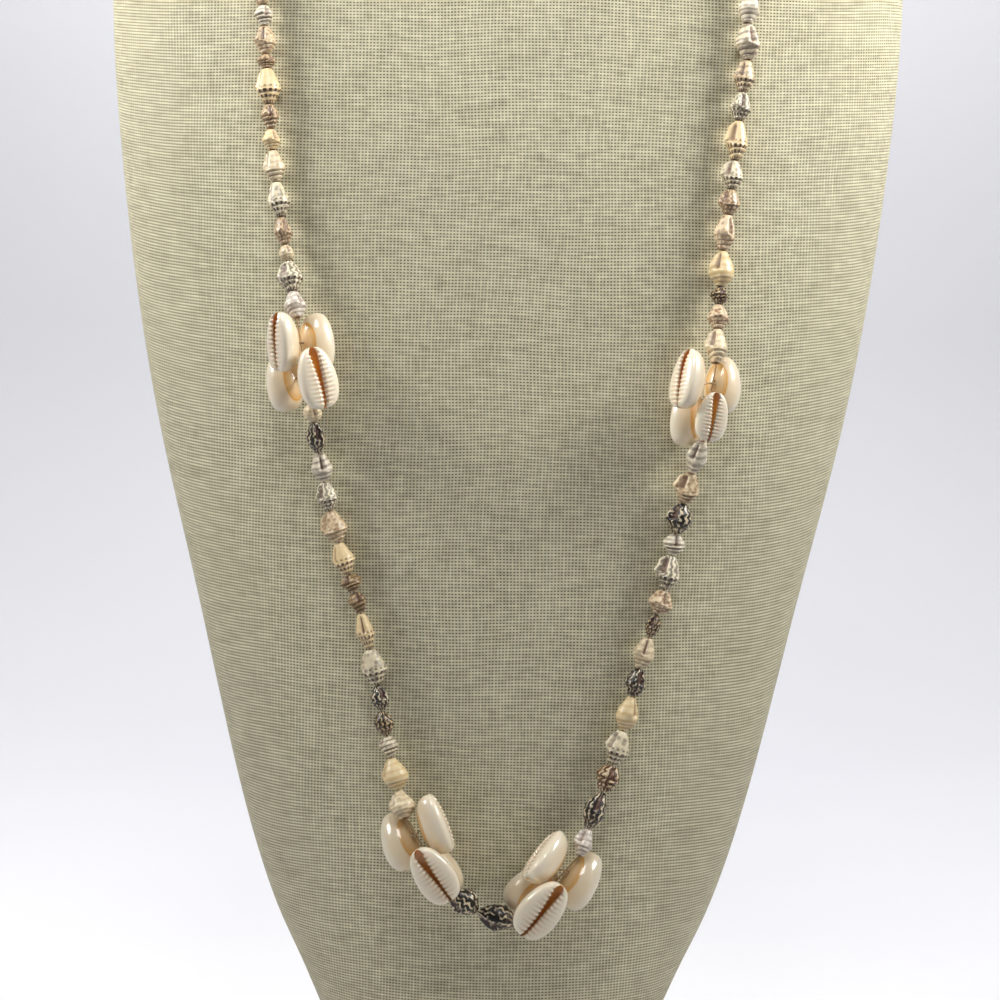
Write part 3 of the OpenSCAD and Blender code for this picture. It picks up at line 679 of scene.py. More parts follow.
@dataclass
class LinenBust:
    """The neck bust: a hard form with linen stretched over it."""

    finish: WovenLinen = field(default_factory=WovenLinen)
    node: str = "bust"
    # Points of one level differ by less than the first, and points on the axis lie within the second
    level_slack: float = 0.01 * MM
    axis_slack: float = 0.1 * MM
    finer: int = 5
    crown_rounds: int = 3
    # The weft climbs this far to the back, and does so fully above the higher of two heights
    side_rise: float = 46 * MM
    rise_from: float = 60 * MM
    rise_full: float = 270 * MM
    # The warp lies wider apart at both sides by this share
    side_slack: float = 0.15
    rings: np.ndarray = field(init=False)

    def __post_init__(self) -> None:
        """Read the frame's rings, each sorted by its turn from the front."""
        points, _ = welded(self.node)
        levels = np.unique(np.round(points[:, 2], 5))
        rings = []
        for level in levels:
            ring = points[np.abs(points[:, 2] - level) < self.level_slack]
            ring = ring[np.hypot(ring[:, 0], ring[:, 1]) > self.axis_slack]
            turn = np.mod(np.arctan2(ring[:, 0], -ring[:, 1]) + 1e-6, math.tau)
            rings.append(ring[np.argsort(turn)])
        self.rings = np.array(rings)

    def half_sizes(self, height: float, behind: bool) -> tuple[float, float]:
        """Half width and depth of the form at a height.

        Args:
            height: The height above the foot.
            behind: Whether the depth behind the axis is wanted.

        Returns:
            The half width and the depth.
        """
        levels = self.rings[:, 0, 2]
        width = np.interp(height, levels, self.rings[:, :, 0].max(1))
        side = self.rings[:, :, 1]
        depth = np.interp(height, levels, side.max(1) if behind else -side.min(1))
        return float(width), float(depth)

    def outward(self, point: np.ndarray, run: np.ndarray) -> np.ndarray:
        """Direction off the linen at a point, square to a run of the thread.

        Args:
            point: The place.
            run: The thread's direction there.

        Returns:
            The unit direction.
        """
        width, depth = self.half_sizes(point[2], point[1] > 0)
        out = np.array([point[0] / width**2, point[1] / depth**2, 0.0])
        out -= np.dot(out, run) * run
        return out / np.linalg.norm(out)

    def finer_rings(self) -> np.ndarray:
        """Smooth the rings round and up, with a Catmull-Rom curve through each four neighbours.

        Returns:
            A grid of points, rings by sides.
        """
        grid = self.rings
        for axis, wraps in ((1, True), (0, False)):
            count = grid.shape[axis]
            steps = count * self.finer if wraps else (count - 1) * self.finer + 1
            at = np.arange(steps) / self.finer
            i = np.minimum(at.astype(int), count - 1 if wraps else count - 2)
            k = at - i
            if wraps:
                picks = [np.mod(i + s, count) for s in (-1, 0, 1, 2)]
            else:
                picks = [np.clip(i + s, 0, count - 1) for s in (-1, 0, 1, 2)]
            a, b, c, d = (np.take(grid, p, axis) for p in picks)
            k = k[None, :, None] if axis == 1 else k[:, None, None]
            grid = (
                b
                + 0.5 * k * (c - a)
                + k**2 * (a - 2.5 * b + 2 * c - 0.5 * d)
                + k**3 * (1.5 * (b - c) + 0.5 * (d - a))
            )
        return grid

    def build(self) -> bpy.types.Object:
        """Build the smooth form with its weave map.

        Returns:
            The piece.
        """
        lowest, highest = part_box(self.node)
        grid = np.clip(self.finer_rings(), lowest, highest)
        sides = grid.shape[1]
        top = grid[-1].mean(0)
        foot = grid[0].mean(0)
        shares = [(s + 1) / (self.crown_rounds + 1) for s in range(self.crown_rounds)]
        inner = [top + (grid[-1] - top) * (1 - share) for share in shares]
        under = [foot + (grid[0] - foot) * share for share in shares]
        grid = np.concatenate([under, grid, inner])
        rings = len(grid)
        points = np.vstack([grid.reshape(-1, 3), foot, top])
        faces = tube_faces(rings, sides)
        foot_point, top_point = rings * sides, rings * sides + 1
        faces += [(foot_point, (j + 1) % sides, j) for j in range(sides)]
        start = (rings - 1) * sides
        faces += [(top_point, start + j, start + (j + 1) % sides) for j in range(sides)]
        piece = mesh_object("linen_bust", points, faces)
        self.map_weave(piece.data, grid)
        piece.data.materials.append(self.finish.material())
        own(piece, Slot.LINEN, self.node)
        return piece

    def map_weave(self, mesh: bpy.types.Mesh, grid: np.ndarray) -> None:
        """Lay the cloth's map: across from the front's middle line, and up along the front.

        Args:
            mesh: The bust's mesh.
            grid: Its points, rings by sides.
        """
        rings, sides = grid.shape[:2]
        closed = np.concatenate([grid, grid[:, :1]], axis=1)
        runs = np.linalg.norm(np.diff(closed, axis=1), axis=2)
        across = np.concatenate([np.zeros((rings, 1)), np.cumsum(runs, axis=1)], axis=1)
        back = across[:, sides // 2][:, None]
        whole = across[:, -1][:, None]
        steps = np.linalg.norm(np.diff(grid[:, 0], axis=0), axis=1)
        up = np.concatenate([[0.0], np.cumsum(steps)])
        # Pulled tight over the shoulders, the weft climbs towards both sides, and less so lower down
        pulled = self.side_rise * ease(grid[:, :, 2].mean(1), self.rise_from, self.rise_full)
        layer = mesh.uv_layers.new(name="weave")
        loops = np.zeros(len(mesh.loops), dtype=int)
        mesh.loops.foreach_get("vertex_index", loops)
        uv = np.zeros((len(mesh.loops), 2))
        for face in mesh.polygons:
            ids = [int(loops[k]) for k in face.loop_indices]
            columns = [v % sides for v in ids if v < rings * sides]
            past_back = min(columns) >= sides // 2 or (0 in columns and max(columns) > sides // 2)
            for k, v in zip(face.loop_indices, ids):
                if v >= rings * sides:
                    uv[k] = (0.0, up[-1] if v > rings * sides else 0.0)
                    continue
                ring, column = divmod(v, sides)
                u = across[ring, column]
                if past_back:
                    u = across[ring, column if column else sides] - whole[ring, 0]
                elif u > back[ring, 0]:
                    u = whole[ring, 0] - u
                turn = math.tau * u / whole[ring, 0]
                climb = math.sin(turn / 2) ** 4
                slack = self.side_slack * (u / 2 - whole[ring, 0] / 8 / math.pi * math.sin(2 * turn))
                uv[k] = (u - slack, up[ring] - pulled[ring] * climb)
        layer.data.foreach_set("uv", uv.ravel())


@dataclass
class CowrieShell:
    """One ring cowrie, placed on its frame node: base, toothed slit, hump and hollow."""

    node: str
    tint: float
    length: float = 17.2 * MM
    width: float = 11.0 * MM
    height: float = 8.0 * MM
    margin_share: float = 0.3
    rings: int = 84
    over_steps: int = 25
    under_steps: int = 22
    hollow_steps: int = 11
    # Powers that round the outline off toward the ends, across, below and over the hump
    round_across: float = 0.74
    round_below: float = 0.6
    round_over: float = 0.75
    # How much fuller the broad end is than the narrow one, across and in height
    broad_across: float = 0.14
    broad_high: float = 0.08
    # How far the slit bows to one side, as a share of the width, and how fast it turns back along the shell
    bow: float = 0.05
    bow_turn: float = 0.9
    # The base draws in under the margin toward the slit, by these powers and this share
    base_powers: tuple[float, float] = (2.2, 0.55)
    base_draw: float = 0.75
    base_square: int = 3
    # Walls round the hollow; its half width is at least, its floor and roof at most, these shares
    wall: float = 1.2 * MM
    lip: float = 1.6 * MM
    hollow_least: float = 0.55
    floor_most: float = 0.3
    roof_most: float = 0.5
    roof_round: float = 0.8
    # The slit widens from the broad end to the narrow one
    slit_low: float = 0.15 * MM
    slit_high: float = 1.3 * MM
    slit_least: float = 0.12 * MM
    slit_power: float = 1.6
    slit_share: float = 0.36
    # The lip rolls in beside the slit over this share of the half width, and rises by this of the height
    roll_wide: float = 0.16
    roll_high: float = 0.09
    teeth: int = 14
    # Toward both ends the teeth fade out between these sines
    teeth_fade: tuple[float, float] = (0.3, 0.62)
    tooth_power: float = 1.4
    # How far out the teeth reach, as a share of the half width, and how softly they end
    tooth_reach: float = 0.84
    tooth_soft: float = 0.62
    # How far they stand down and out to the slit, each measured from this share of a tooth
    tooth_high: float = 0.3 * MM
    tooth_high_from: float = 0.4
    tooth_out: float = 0.22 * MM
    tooth_out_from: float = 0.3
    # The ring on the hump: half sizes as shares of the shell's, and its sharp and its soft line
    ring_long: float = 0.66
    ring_wide: float = 0.6
    ring_shift: float = 0.03
    ring_line: float = 0.06
    ring_soft: float = 0.13
    ring_soft_at: float = 0.86
    # How strongly each part of the paint shows, and between which shares of height or reach it fades in
    soft_share: float = 0.4
    saddle_share: float = 0.75
    flank_share: float = 0.8
    # The gap and lip shares and fades set the painted shade between the teeth and at the slit's edge
    gap_shade_share: float = 0.75
    slit_edge_shade_share: float = 0.6
    lip_wide: float = 0.1
    gap_shade_fade: tuple[float, float] = (0.1, 0.7)
    saddle_fade: tuple[float, float] = (-0.04, 0.1)
    hump_fade: tuple[float, float] = (0.4, 0.62)
    flank_fade: tuple[float, float] = (0.3, 0.6)
    tip_turn: float = math.radians(5)
    # The solid's own first and last ring stand this far from the tips
    solid_tip_turn: float = math.radians(9)
    inset: float = 0.985
    # A slice at each end gives the long axis, and the flat side is looked for in steps of degrees round it
    end_slice: float = 0.25 * MM
    turn_step: float = 0.5
    near_steps: int = 24

    def sections(self) -> tuple[np.ndarray, dict[str, np.ndarray]]:
        """Work out the sections along the shell and the masks of its paint.

        Returns:
            Points, rings by places round a section, and the named masks.
        """
        turn = np.linspace(self.tip_turn, math.pi - self.tip_turn, self.rings)[:, None]
        sine, cosine = np.sin(turn), np.cos(turn)
        x = -self.length / 2 * cosine
        half = self.width / 2 * sine**self.round_across * (1 + self.broad_across * cosine)
        margin = self.margin_share * self.height
        base = margin * (1 - sine**self.round_below)
        top = margin + (self.height - margin) * sine**self.round_over * (1 + self.broad_high * cosine)
        phase = (x / self.length + 0.5) * self.teeth * math.tau
        fade = ease(sine, *self.teeth_fade)
        tooth = (0.5 + 0.5 * np.cos(phase)) ** self.tooth_power * fade
        widening = ((1 - cosine) / 2) ** self.slit_power
        wide = self.slit_low + (self.slit_high - self.slit_low) * widening
        wide = wide - (tooth - self.tooth_out_from) * self.tooth_out
        slit = np.minimum(self.slit_share * half, np.maximum(wide, self.slit_least))
        bow = self.bow * self.width * sine * np.cos(turn * self.bow_turn)
        # Over the hump, from the left margin to the right one
        arc = np.linspace(0, math.pi, 2 * self.over_steps + 1)[None, :]
        over_y = -half * np.cos(arc)
        over_z = margin + (top - margin) * np.sin(arc)
        # Under the margin towards the slit, where the lip rolls in
        k = np.linspace(0, 1, self.under_steps + 1)[None, 1:]
        outer, inner = self.base_powers
        drawn = 1 - self.base_draw + self.base_draw * (1 - k**3)
        under_y = np.maximum(slit + (half - slit) * (1 - k**outer) ** inner * drawn, slit)
        share = np.clip(under_y / half, 0, 1)
        under_z = margin - (margin - base) * (1 - share**self.base_square) ** (1 / self.base_square)
        roll = ease(1 - (under_y - slit) / (self.roll_wide * half), 0, 1)
        under_z = under_z + roll * self.roll_high * self.height * (0.5 + 0.5 * k)
        reach_in = ease(self.tooth_reach - share, 0, self.tooth_soft)
        under_z = under_z - (tooth - self.tooth_high_from * fade) * reach_in * self.tooth_high
        # The hollow, from the right lip over its roof to the left lip
        arch = np.linspace(0, math.pi, 2 * self.hollow_steps + 1)[None, :]
        room = np.maximum(half - self.wall, self.hollow_least * half)
        floor = np.minimum(base + self.lip, base + self.floor_most * (top - base))
        roof = np.minimum(top - self.wall, base + self.roof_most * (top - base))
        hollow_y = room * np.cos(arch)
        hollow_z = floor + (roof - floor) * np.sin(arch) ** self.roof_round
        lean = bow * (1 - share)
        y = np.concatenate([lean[:, ::-1] - under_y[:, ::-1], over_y, under_y + lean, hollow_y], axis=1)
        z = np.concatenate([under_z[:, ::-1], over_z, under_z, hollow_z], axis=1)
        outer_count = 2 * self.under_steps + arc.shape[1]
        points = np.stack([np.broadcast_to(x, y.shape), y, z - self.height / 2], axis=2)
        outside = np.zeros(y.shape, dtype=bool)
        outside[:, :outer_count] = True
        masks = self.hump_masks(points, outside)
        # Painted shade: darker in the gaps between the teeth and on the lip where it rolls into the slit
        gap = (1 - tooth) * fade * ease(self.tooth_reach - share, *self.gap_shade_fade) * self.gap_shade_share
        depth = ease(1 - (under_y - slit) / (self.lip_wide * half), 0, 1) * self.slit_edge_shade_share
        teeth_and_slit_shade = np.maximum(gap, depth)
        masks["tooth_gap"][:, : self.under_steps] = teeth_and_slit_shade[:, ::-1]
        masks["tooth_gap"][:, outer_count - self.under_steps : outer_count] = teeth_and_slit_shade
        return points, masks

    def hump_masks(self, points: np.ndarray, outside: np.ndarray) -> dict[str, np.ndarray]:
        """Work out where the ring, the saddle inside it and the flanks show, and where the hollow is.

        Args:
            points: The sections' points.
            outside: Which of them lie on the outside.

        Returns:
            The named masks, with the painted shade between the teeth still empty.
        """
        along = points[..., 0] / (self.length / 2)
        side = points[..., 1] / (self.width / 2)
        rise = (points[..., 2] + self.height / 2) / self.height
        on_hump = ease(rise, *self.hump_fade) * outside
        reach = np.hypot((along + self.ring_shift) / self.ring_long, side / self.ring_wide)
        line = np.exp(-(((reach - 1) / self.ring_line) ** 2))
        soft = self.soft_share * np.exp(-(((reach - self.ring_soft_at) / self.ring_soft) ** 2))
        return {
            "ring": np.maximum(line, soft) * on_hump,
            "saddle": ease(1 - reach, *self.saddle_fade) * on_hump * self.saddle_share,
            "flank": ease(rise, *self.flank_fade) * outside * self.flank_share,
            "hollow": np.where(outside, 0.0, 1.0),
            "tooth_gap": np.zeros(outside.shape),
        }

    def place(self) -> tuple[np.ndarray, np.ndarray, float]:
        """Read the shell's place from its frame node.

        Returns:
            Its axes as columns, its middle and its size beside the common shell.
        """
        points, _ = welded(self.node)
        centre = (points.max(0) + points.min(0)) / 2
        _, _, axes = np.linalg.svd(points - points.mean(0), full_matrices=False)
        x = axes[0]
        run = (points - centre) @ x
        high_end = points[run > run.max() - self.end_slice].mean(0)
        low_end = points[run < run.min() + self.end_slice].mean(0)
        x = (high_end - low_end) / np.linalg.norm(high_end - low_end)
        x = x if x[2] > 0 else -x
        side = axes[1] - np.dot(axes[1], x) * x
        side /= np.linalg.norm(side)
        other = np.cross(x, side)
        turns = np.radians(np.arange(0, 180, self.turn_step))
        rays = np.outer(np.cos(turns), side) + np.outer(np.sin(turns), other)
        spans = np.ptp(points @ rays.T, axis=0)
        best = int(np.argmin(spans))
        near = [(best + k) % len(turns) for k in range(-self.near_steps, self.near_steps + 1)]
        flat_side = points @ np.cross(rays[near], x).T
        lean = np.abs(((flat_side - flat_side.mean(0)) ** 3).sum(0))
        z = rays[near[int(np.argmin(lean))]]
        if np.dot(z, self.thread_at(centre) - centre) < 0:
            z = -z
        y = np.cross(z, x)
        frame_axes = np.stack([x, y, z], axis=1)
        local = (points - centre) @ frame_axes
        middle = centre + frame_axes @ ((local.max(0) + local.min(0)) / 2)
        size = np.ptp(local[:, 0]) / (self.length * math.cos(self.solid_tip_turn))
        return frame_axes, middle, float(size)

    def thread_at(self, point: np.ndarray) -> np.ndarray:
        """The middle of the cluster that the shell belongs to."""
        mates = [n for n in frame["nodes"] if n.startswith(self.node[:-1])]
        boxes = [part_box(n) for n in mates]
        return np.mean([(np.array(low) + np.array(high)) / 2 for low, high in boxes], axis=0)

    def build(self, finish: bpy.types.Material) -> bpy.types.Object:
        """Build the shell on its frame node.

        Args:
            finish: The enamel.

        Returns:
            The piece.
        """
        grid, masks = self.sections()
        rings, count = grid.shape[:2]
        axes, middle, size = self.place()
        points = middle + (grid.reshape(-1, 3) * size * self.inset) @ axes.T
        faces = [tuple(f) for f in tube_faces(rings, count)]
        for ring, flip in ((0, False), (rings - 1, True)):
            loop = [ring * count + j for j in range(count)]
            faces.append(tuple(loop if flip else reversed(loop)))
        piece = mesh_object(self.node + "_shell", points, faces)
        mesh = bmesh.new()
        mesh.from_mesh(piece.data)
        bmesh.ops.triangulate(mesh, faces=[f for f in mesh.faces if len(f.verts) > 4])
        bmesh.ops.recalc_face_normals(mesh, faces=mesh.faces)
        mesh.to_mesh(piece.data)
        mesh.free()
        for name, values in masks.items():
            store(piece.data, name, values.ravel())
        store(piece.data, "tint", np.full(rings * count, self.tint))
        piece.data.materials.append(finish)
        own(piece, Slot.COWRIE, self.node)
        return piece


class Whelk(Enum):
    """Kinds of small shell, by the letter of their outline."""

    CONE = "c"
    STUB = "s"
    TAPER = "t"
    OLIVE = "o"
    LIPPED = "l"
    PEA = "e"
    RIBBED = "r"


@dataclass(frozen=True)
class WhelkForm:
    """Outline and relief of one kind of small shell, for a shell one long and one in radius."""

    kind: Whelk
    outline: tuple[tuple[float, float], ...]
    whorl: float = 0.24
    pitch: float = 0.13
    spire_from: float = 0.6
    lip: float = 0.1
    mouth: float = 0.5
    mouth_wide: float = 0.24
    ribs: int = 0
    rib_high: float = 0.055
    # Where the aperture ends along the shell, and where its lip stands and how wide it is, in radians
    mouth_to: float = 0.6
    lip_turn: float = 0.62
    lip_wide: float = 0.24
    bore: float = 0.17
    wall_least: float = 0.08
    # Shares of the length between which the whorls' climb, the mouth and the ribs set in
    climb_fade: tuple[float, float] = (0.3, 0.55)
    mouth_fade: tuple[float, float] = (0.02, 0.14)
    rib_fade: tuple[float, float] = (0.2, 0.4)
    # The spire's grooves set in from before its foot to past it
    spire_fade: tuple[float, float] = (-0.06, 0.1)
    # How strongly painted shade darkens the mouth's recess, less what is left out round it, and how strongly it
    # darkens the bore
    mouth_shade_gain: float = 1.15
    mouth_trim: float = 0.25
    bore_shade_share: float = 0.7
    # The rings crowd a little toward the spire
    crowding: float = 0.85
    groove_power: float = 1.6
    sides: int = 28
    steps: int = 42

    def build(self, number: int) -> bpy.types.Object:
        """Build the base shell along +Z from its narrow end.

        Args:
            number: Its place among the kinds, which leads its name so that they sort.

        Returns:
            The base shell, which isn't shown itself.
        """
        v = np.linspace(0, 1, self.steps)[:, None] ** self.crowding
        turn = (np.arange(self.sides) / self.sides)[None, :]
        angle = math.tau * turn
        lead = self.pitch * (turn - 0.5) * ease(v, *self.climb_fade) * ease(1.0 - v, 0, 0.12)
        radius = between_knots(list(self.outline), v - lead)
        before, past = self.spire_fade
        spire = ease(v, self.spire_from + before, self.spire_from + past) * ease(1.02 - v, 0, 0.08)
        phase = np.mod((v - self.spire_from) / self.pitch - turn, 1.0)
        groove = (1 - np.sin(math.pi * phase)) ** self.groove_power * spire
        off = np.minimum(angle, math.tau - angle)
        inside = ease(v, *self.mouth_fade) * ease(self.mouth_to - v, 0, 0.1)
        mouth = np.exp(-((off / self.mouth_wide) ** 2)) * inside
        side = np.mod(angle - self.lip_turn + math.pi, math.tau) - math.pi
        lip = np.exp(-((side / self.lip_wide) ** 2)) * inside
        # No shell is quite round
        wave = 1 + 0.02 * np.sin(3 * angle + 5 * v) + 0.015 * np.sin(5 * angle - 7 * v)
        form = radius * (1 - self.whorl * groove) * wave
        form = form * (1 - self.mouth * mouth) + self.lip * lip
        if self.ribs:
            form = form * (1 + self.rib_high * np.cos(self.ribs * angle) * ease(v, *self.rib_fade))
        form = np.maximum(form, self.bore + self.wall_least)
        # The bore runs back through the shell
        layers = [(form, np.broadcast_to(v, form.shape))]
        layers += [
            (np.full(angle.shape, self.bore), np.full(angle.shape, level)) for level in (1.0, 0.5, 0.0)
        ]
        grid = np.concatenate([
            np.stack([reach * np.cos(angle), reach * np.sin(angle), level], axis=2) for reach, level in layers
        ])
        piece = mesh_object(
            f"base_{number}_{self.kind.name.lower()}",
            grid.reshape(-1, 3),
            tube_faces(len(grid), self.sides, closed_along=True),
        )
        store(piece.data, "local", grid.reshape(-1, 3))
        # The bore inside is darkened by the grooves' painted shade in full and by the mouth's in part
        dark = np.full((len(grid) - self.steps, self.sides), 1.0)
        store(piece.data, "groove", np.concatenate([groove, dark]).ravel())
        opening = np.clip(mouth * self.mouth_shade_gain - self.mouth_trim, 0, 1)
        store(piece.data, "mouth", np.concatenate([opening, dark * self.bore_shade_share]).ravel())
        return piece


WHELKS = (
    WhelkForm(Whelk.CONE, ((0, 0.4), (0.08, 0.53), (0.3, 0.76), (0.52, 0.97), (0.61, 1.0), (0.68, 0.93),
                           (0.72, 0.81), (0.8, 0.79), (0.84, 0.65), (0.92, 0.58), (1, 0.42))),
    WhelkForm(Whelk.STUB, ((0, 0.46), (0.1, 0.62), (0.34, 0.94), (0.46, 1.0), (0.54, 0.94), (0.58, 0.84),
                           (0.7, 0.86), (0.76, 0.66), (0.86, 0.62), (1, 0.44)), spire_from=0.5, pitch=0.17),
    WhelkForm(Whelk.TAPER, ((0, 0.36), (0.08, 0.5), (0.28, 0.84), (0.48, 1.0), (0.64, 0.97), (0.78, 0.8),
                            (0.9, 0.56), (1, 0.38)), whorl=0.12, spire_from=0.68, pitch=0.12),
    WhelkForm(Whelk.OLIVE, ((0, 0.34), (0.12, 0.5), (0.36, 0.84), (0.57, 1.0), (0.73, 0.94), (0.83, 0.76),
                            (0.92, 0.54), (1, 0.38)), whorl=0.1, lip=0.16, spire_from=0.7, pitch=0.11),
    WhelkForm(Whelk.LIPPED, ((0, 0.38), (0.1, 0.52), (0.34, 0.78), (0.56, 0.97), (0.66, 0.99), (0.73, 0.84),
                             (0.8, 0.73), (0.88, 0.62), (1, 0.43)), lip=0.3, mouth_wide=0.36, mouth=0.55),
    WhelkForm(Whelk.PEA, ((0, 0.44), (0.12, 0.7), (0.34, 0.95), (0.5, 1.0), (0.66, 0.95), (0.88, 0.72),
                          (1, 0.44)), whorl=0.08, mouth=0.25, lip=0.04, spire_from=0.7),
    WhelkForm(Whelk.RIBBED, ((0, 0.4), (0.1, 0.56), (0.34, 0.84), (0.54, 1.0), (0.64, 0.97), (0.7, 0.82),
                             (0.8, 0.8), (0.85, 0.64), (1, 0.43)), ribs=11),
)


@dataclass(frozen=True)
class Paint:
    """Tones of one small shell, and how strongly its speckles, dashes, flames and bands show."""

    base: str
    mark: str
    speckles: float = 0.0
    dashes: float = 0.0
    flames: float = 0.0
    bands: float = 0.0


PAINTS = {
    "A": Paint("#e6d0ad", "#8a6040", speckles=0.9, dashes=0.6),
    "B": Paint("#f0e5ce", "#857a6c", bands=0.7, speckles=0.3),
    "C": Paint("#e6d2ac", "#855c38", speckles=0.8, flames=0.45),
    "D": Paint("#dbbe97", "#4e3421", flames=0.7, dashes=0.7),
    "E": Paint("#e9cf9f", "#4a3020", dashes=1.2),
    "F": Paint("#f6e2b4", "#cd9750", bands=0.5, flames=0.35),
    "G": Paint("#ecdcb9", "#a98f6a", bands=0.5, speckles=0.6),
    "H": Paint("#e6d9ba", "#241a12", speckles=0.6, dashes=1.3),
    "I": Paint("#f2e6c9", "#19120c", dashes=1.0, flames=0.7),
    "J": Paint("#e0d0b0", "#0f0a07", flames=2.6, speckles=1.1),
    "K": Paint("#efe0c2", "#5b5044", bands=0.75, flames=0.3),
    "L": Paint("#d0b48a", "#170f08", flames=1.25, bands=0.8),
    "M": Paint("#b99c70", "#4a3422", bands=0.8, flames=0.6),
    "N": Paint("#f0e6d7", "#8f7f72", bands=0.6, speckles=0.5),
    "O": Paint("#e8d2a5", "#c69f5e", bands=0.4),
    "P": Paint("#e0c8a2", "#33241a", dashes=1.3, bands=0.5),
    "Q": Paint("#dcc49c", "#533218", flames=1.5, bands=0.4),
}


@dataclass
class ShellStrand:
    """One string of small shells: a chart read downwards, laid on the solids of its frame node."""

    node: str
    chart: str
    hidden_chart: str = ""
    girth: float = 1.06
    # Each shell leans by up to this many degrees
    sway: float = 2.5
    # Behind the neck the shells are slimmer, so they stay inside the solids' box
    nape_from: float = 36 * MM
    nape_slim: float = 0.86
    # Degrees from straight off the linen that the lipped kind turns its mouth, and the most for the others
    lipped_turn: float = 55
    turn_fan: float = 70
    # A slice at a shell's end, and the share of its points that the radius takes in, in percent
    end_slice: float = 0.02 * MM
    radius_share: float = 90
    # Joining the points of one shell takes fewer rounds than this
    join_rounds: int = 200
    # Triangles of less than half this, in square metres, are left out of the axis, and so are those
    # that face less along the strand than this cosine
    least_area: float = 1e-12
    least_facing: float = 0.8
    # Paint patterns start anywhere over this span
    pattern_span: float = 9
    seed: int = 7

    def solids(self) -> list[tuple[np.ndarray, np.ndarray]]:
        """Split the frame node into its shells.

        Returns:
            The points and triangles of each.
        """
        points, faces = welded(self.node)
        parent = np.arange(len(points))
        for _ in range(self.join_rounds):
            least = parent[faces].min(1)
            before = parent.copy()
            for column in range(3):
                np.minimum.at(parent, faces[:, column], least)
            parent = parent[parent]
            if np.array_equal(before, parent):
                break
        found = []
        for root in np.unique(parent[faces[:, 0]]):
            part = faces[parent[faces[:, 0]] == root]
            used, index = np.unique(part, return_inverse=True)
            found.append((points[used], index.reshape(-1, 3)))
        return found

    def in_order(self) -> list[tuple[np.ndarray, np.ndarray]]:
        """Sort the shells downwards along the strand.

        Returns:
            The points and triangles of each.
        """
        shells = self.solids()
        middles = [p.mean(0) for p, _ in shells]
        sideways = self.node.endswith("bottom")
        first = max(range(len(shells)), key=lambda i: middles[i][0] if sideways else -middles[i][2])
        order = [first]
        rest = set(range(len(shells))) - {first}
        while rest:
            near = min(rest, key=lambda i: np.linalg.norm(middles[i] - middles[order[-1]]))
            order.append(near)
            rest.remove(near)
        return [shells[i] for i in reversed(order)]

    def axis_of(self, points: np.ndarray, faces: np.ndarray, guess: np.ndarray) -> np.ndarray:
        """Find a shell's axis from its two flat ends.

        Args:
            points: The shell's points.
            faces: Its triangles.
            guess: The strand's rough direction there.

        Returns:
            The unit axis, pointing down the strand.
        """
        a, b, c = (points[faces[:, i]] for i in range(3))
        cross = np.cross(b - a, c - a)
        area = np.linalg.norm(cross, axis=1)
        keep = area > self.least_area
        normal = cross[keep] / area[keep, None]
        area = area[keep]
        facing = np.abs(normal @ guess) > self.least_facing
        normal, area = normal[facing], area[facing]
        normal = normal * np.sign(normal @ guess)[:, None]
        keys, index = np.unique(np.round(normal, 2), axis=0, return_inverse=True)
        best = np.argmax(np.bincount(index.ravel(), weights=area))
        axis = (normal[index.ravel() == best] * area[index.ravel() == best, None]).sum(0)
        return axis / np.linalg.norm(axis)

    def rows(self, bust: LinenBust) -> list[dict]:
        """Work out the place, turn, size and paint of each shell.

        Args:
            bust: The form that the strand lies on.

        Returns:
            One row for each shell, downwards.
        """
        shells = self.in_order()
        middles = [(p.max(0) + p.min(0)) / 2 for p, _ in shells]
        names = self.chart.split()
        spare = self.hidden_chart.split()
        missing = len(shells) - len(names)
        if missing > 0:
            names = [spare[i % len(spare)] for i in range(missing, 0, -1)] + names
        rng = np.random.default_rng(self.seed)
        kinds = [w.kind.value for w in WHELKS]
        rows = []
        for i, (points, faces) in enumerate(shells):
            guess = middles[min(i + 1, len(shells) - 1)] - middles[max(i - 1, 0)]
            axis = self.axis_of(points, faces, guess / np.linalg.norm(guess))
            run = points @ axis
            first = run.min()
            start = points[run < first + self.end_slice].mean(0)
            start = start + (first - start @ axis) * axis
            reach = points - start
            reach = reach - np.outer(reach @ axis, axis)
            radius = np.percentile(np.linalg.norm(reach, axis=1), self.radius_share)
            kind, paint = names[i][0], PAINTS[names[i][1]]
            out = bust.outward(middles[i], axis)
            lipped = kind == Whelk.LIPPED.value
            face = math.radians(self.lipped_turn if lipped else rng.uniform(-self.turn_fan, self.turn_fan))
            x = math.cos(face) * out + math.sin(face) * np.cross(axis, out)
            rows.append({
                "place": start,
                "axes": np.stack([x, np.cross(axis, x), axis], axis=1),
                "size": (radius, radius, np.ptp(run)),
                "pick": kinds.index(kind),
                "paint": paint,
                "seed": float(rng.uniform(0, self.pattern_span)),
            })
        return rows

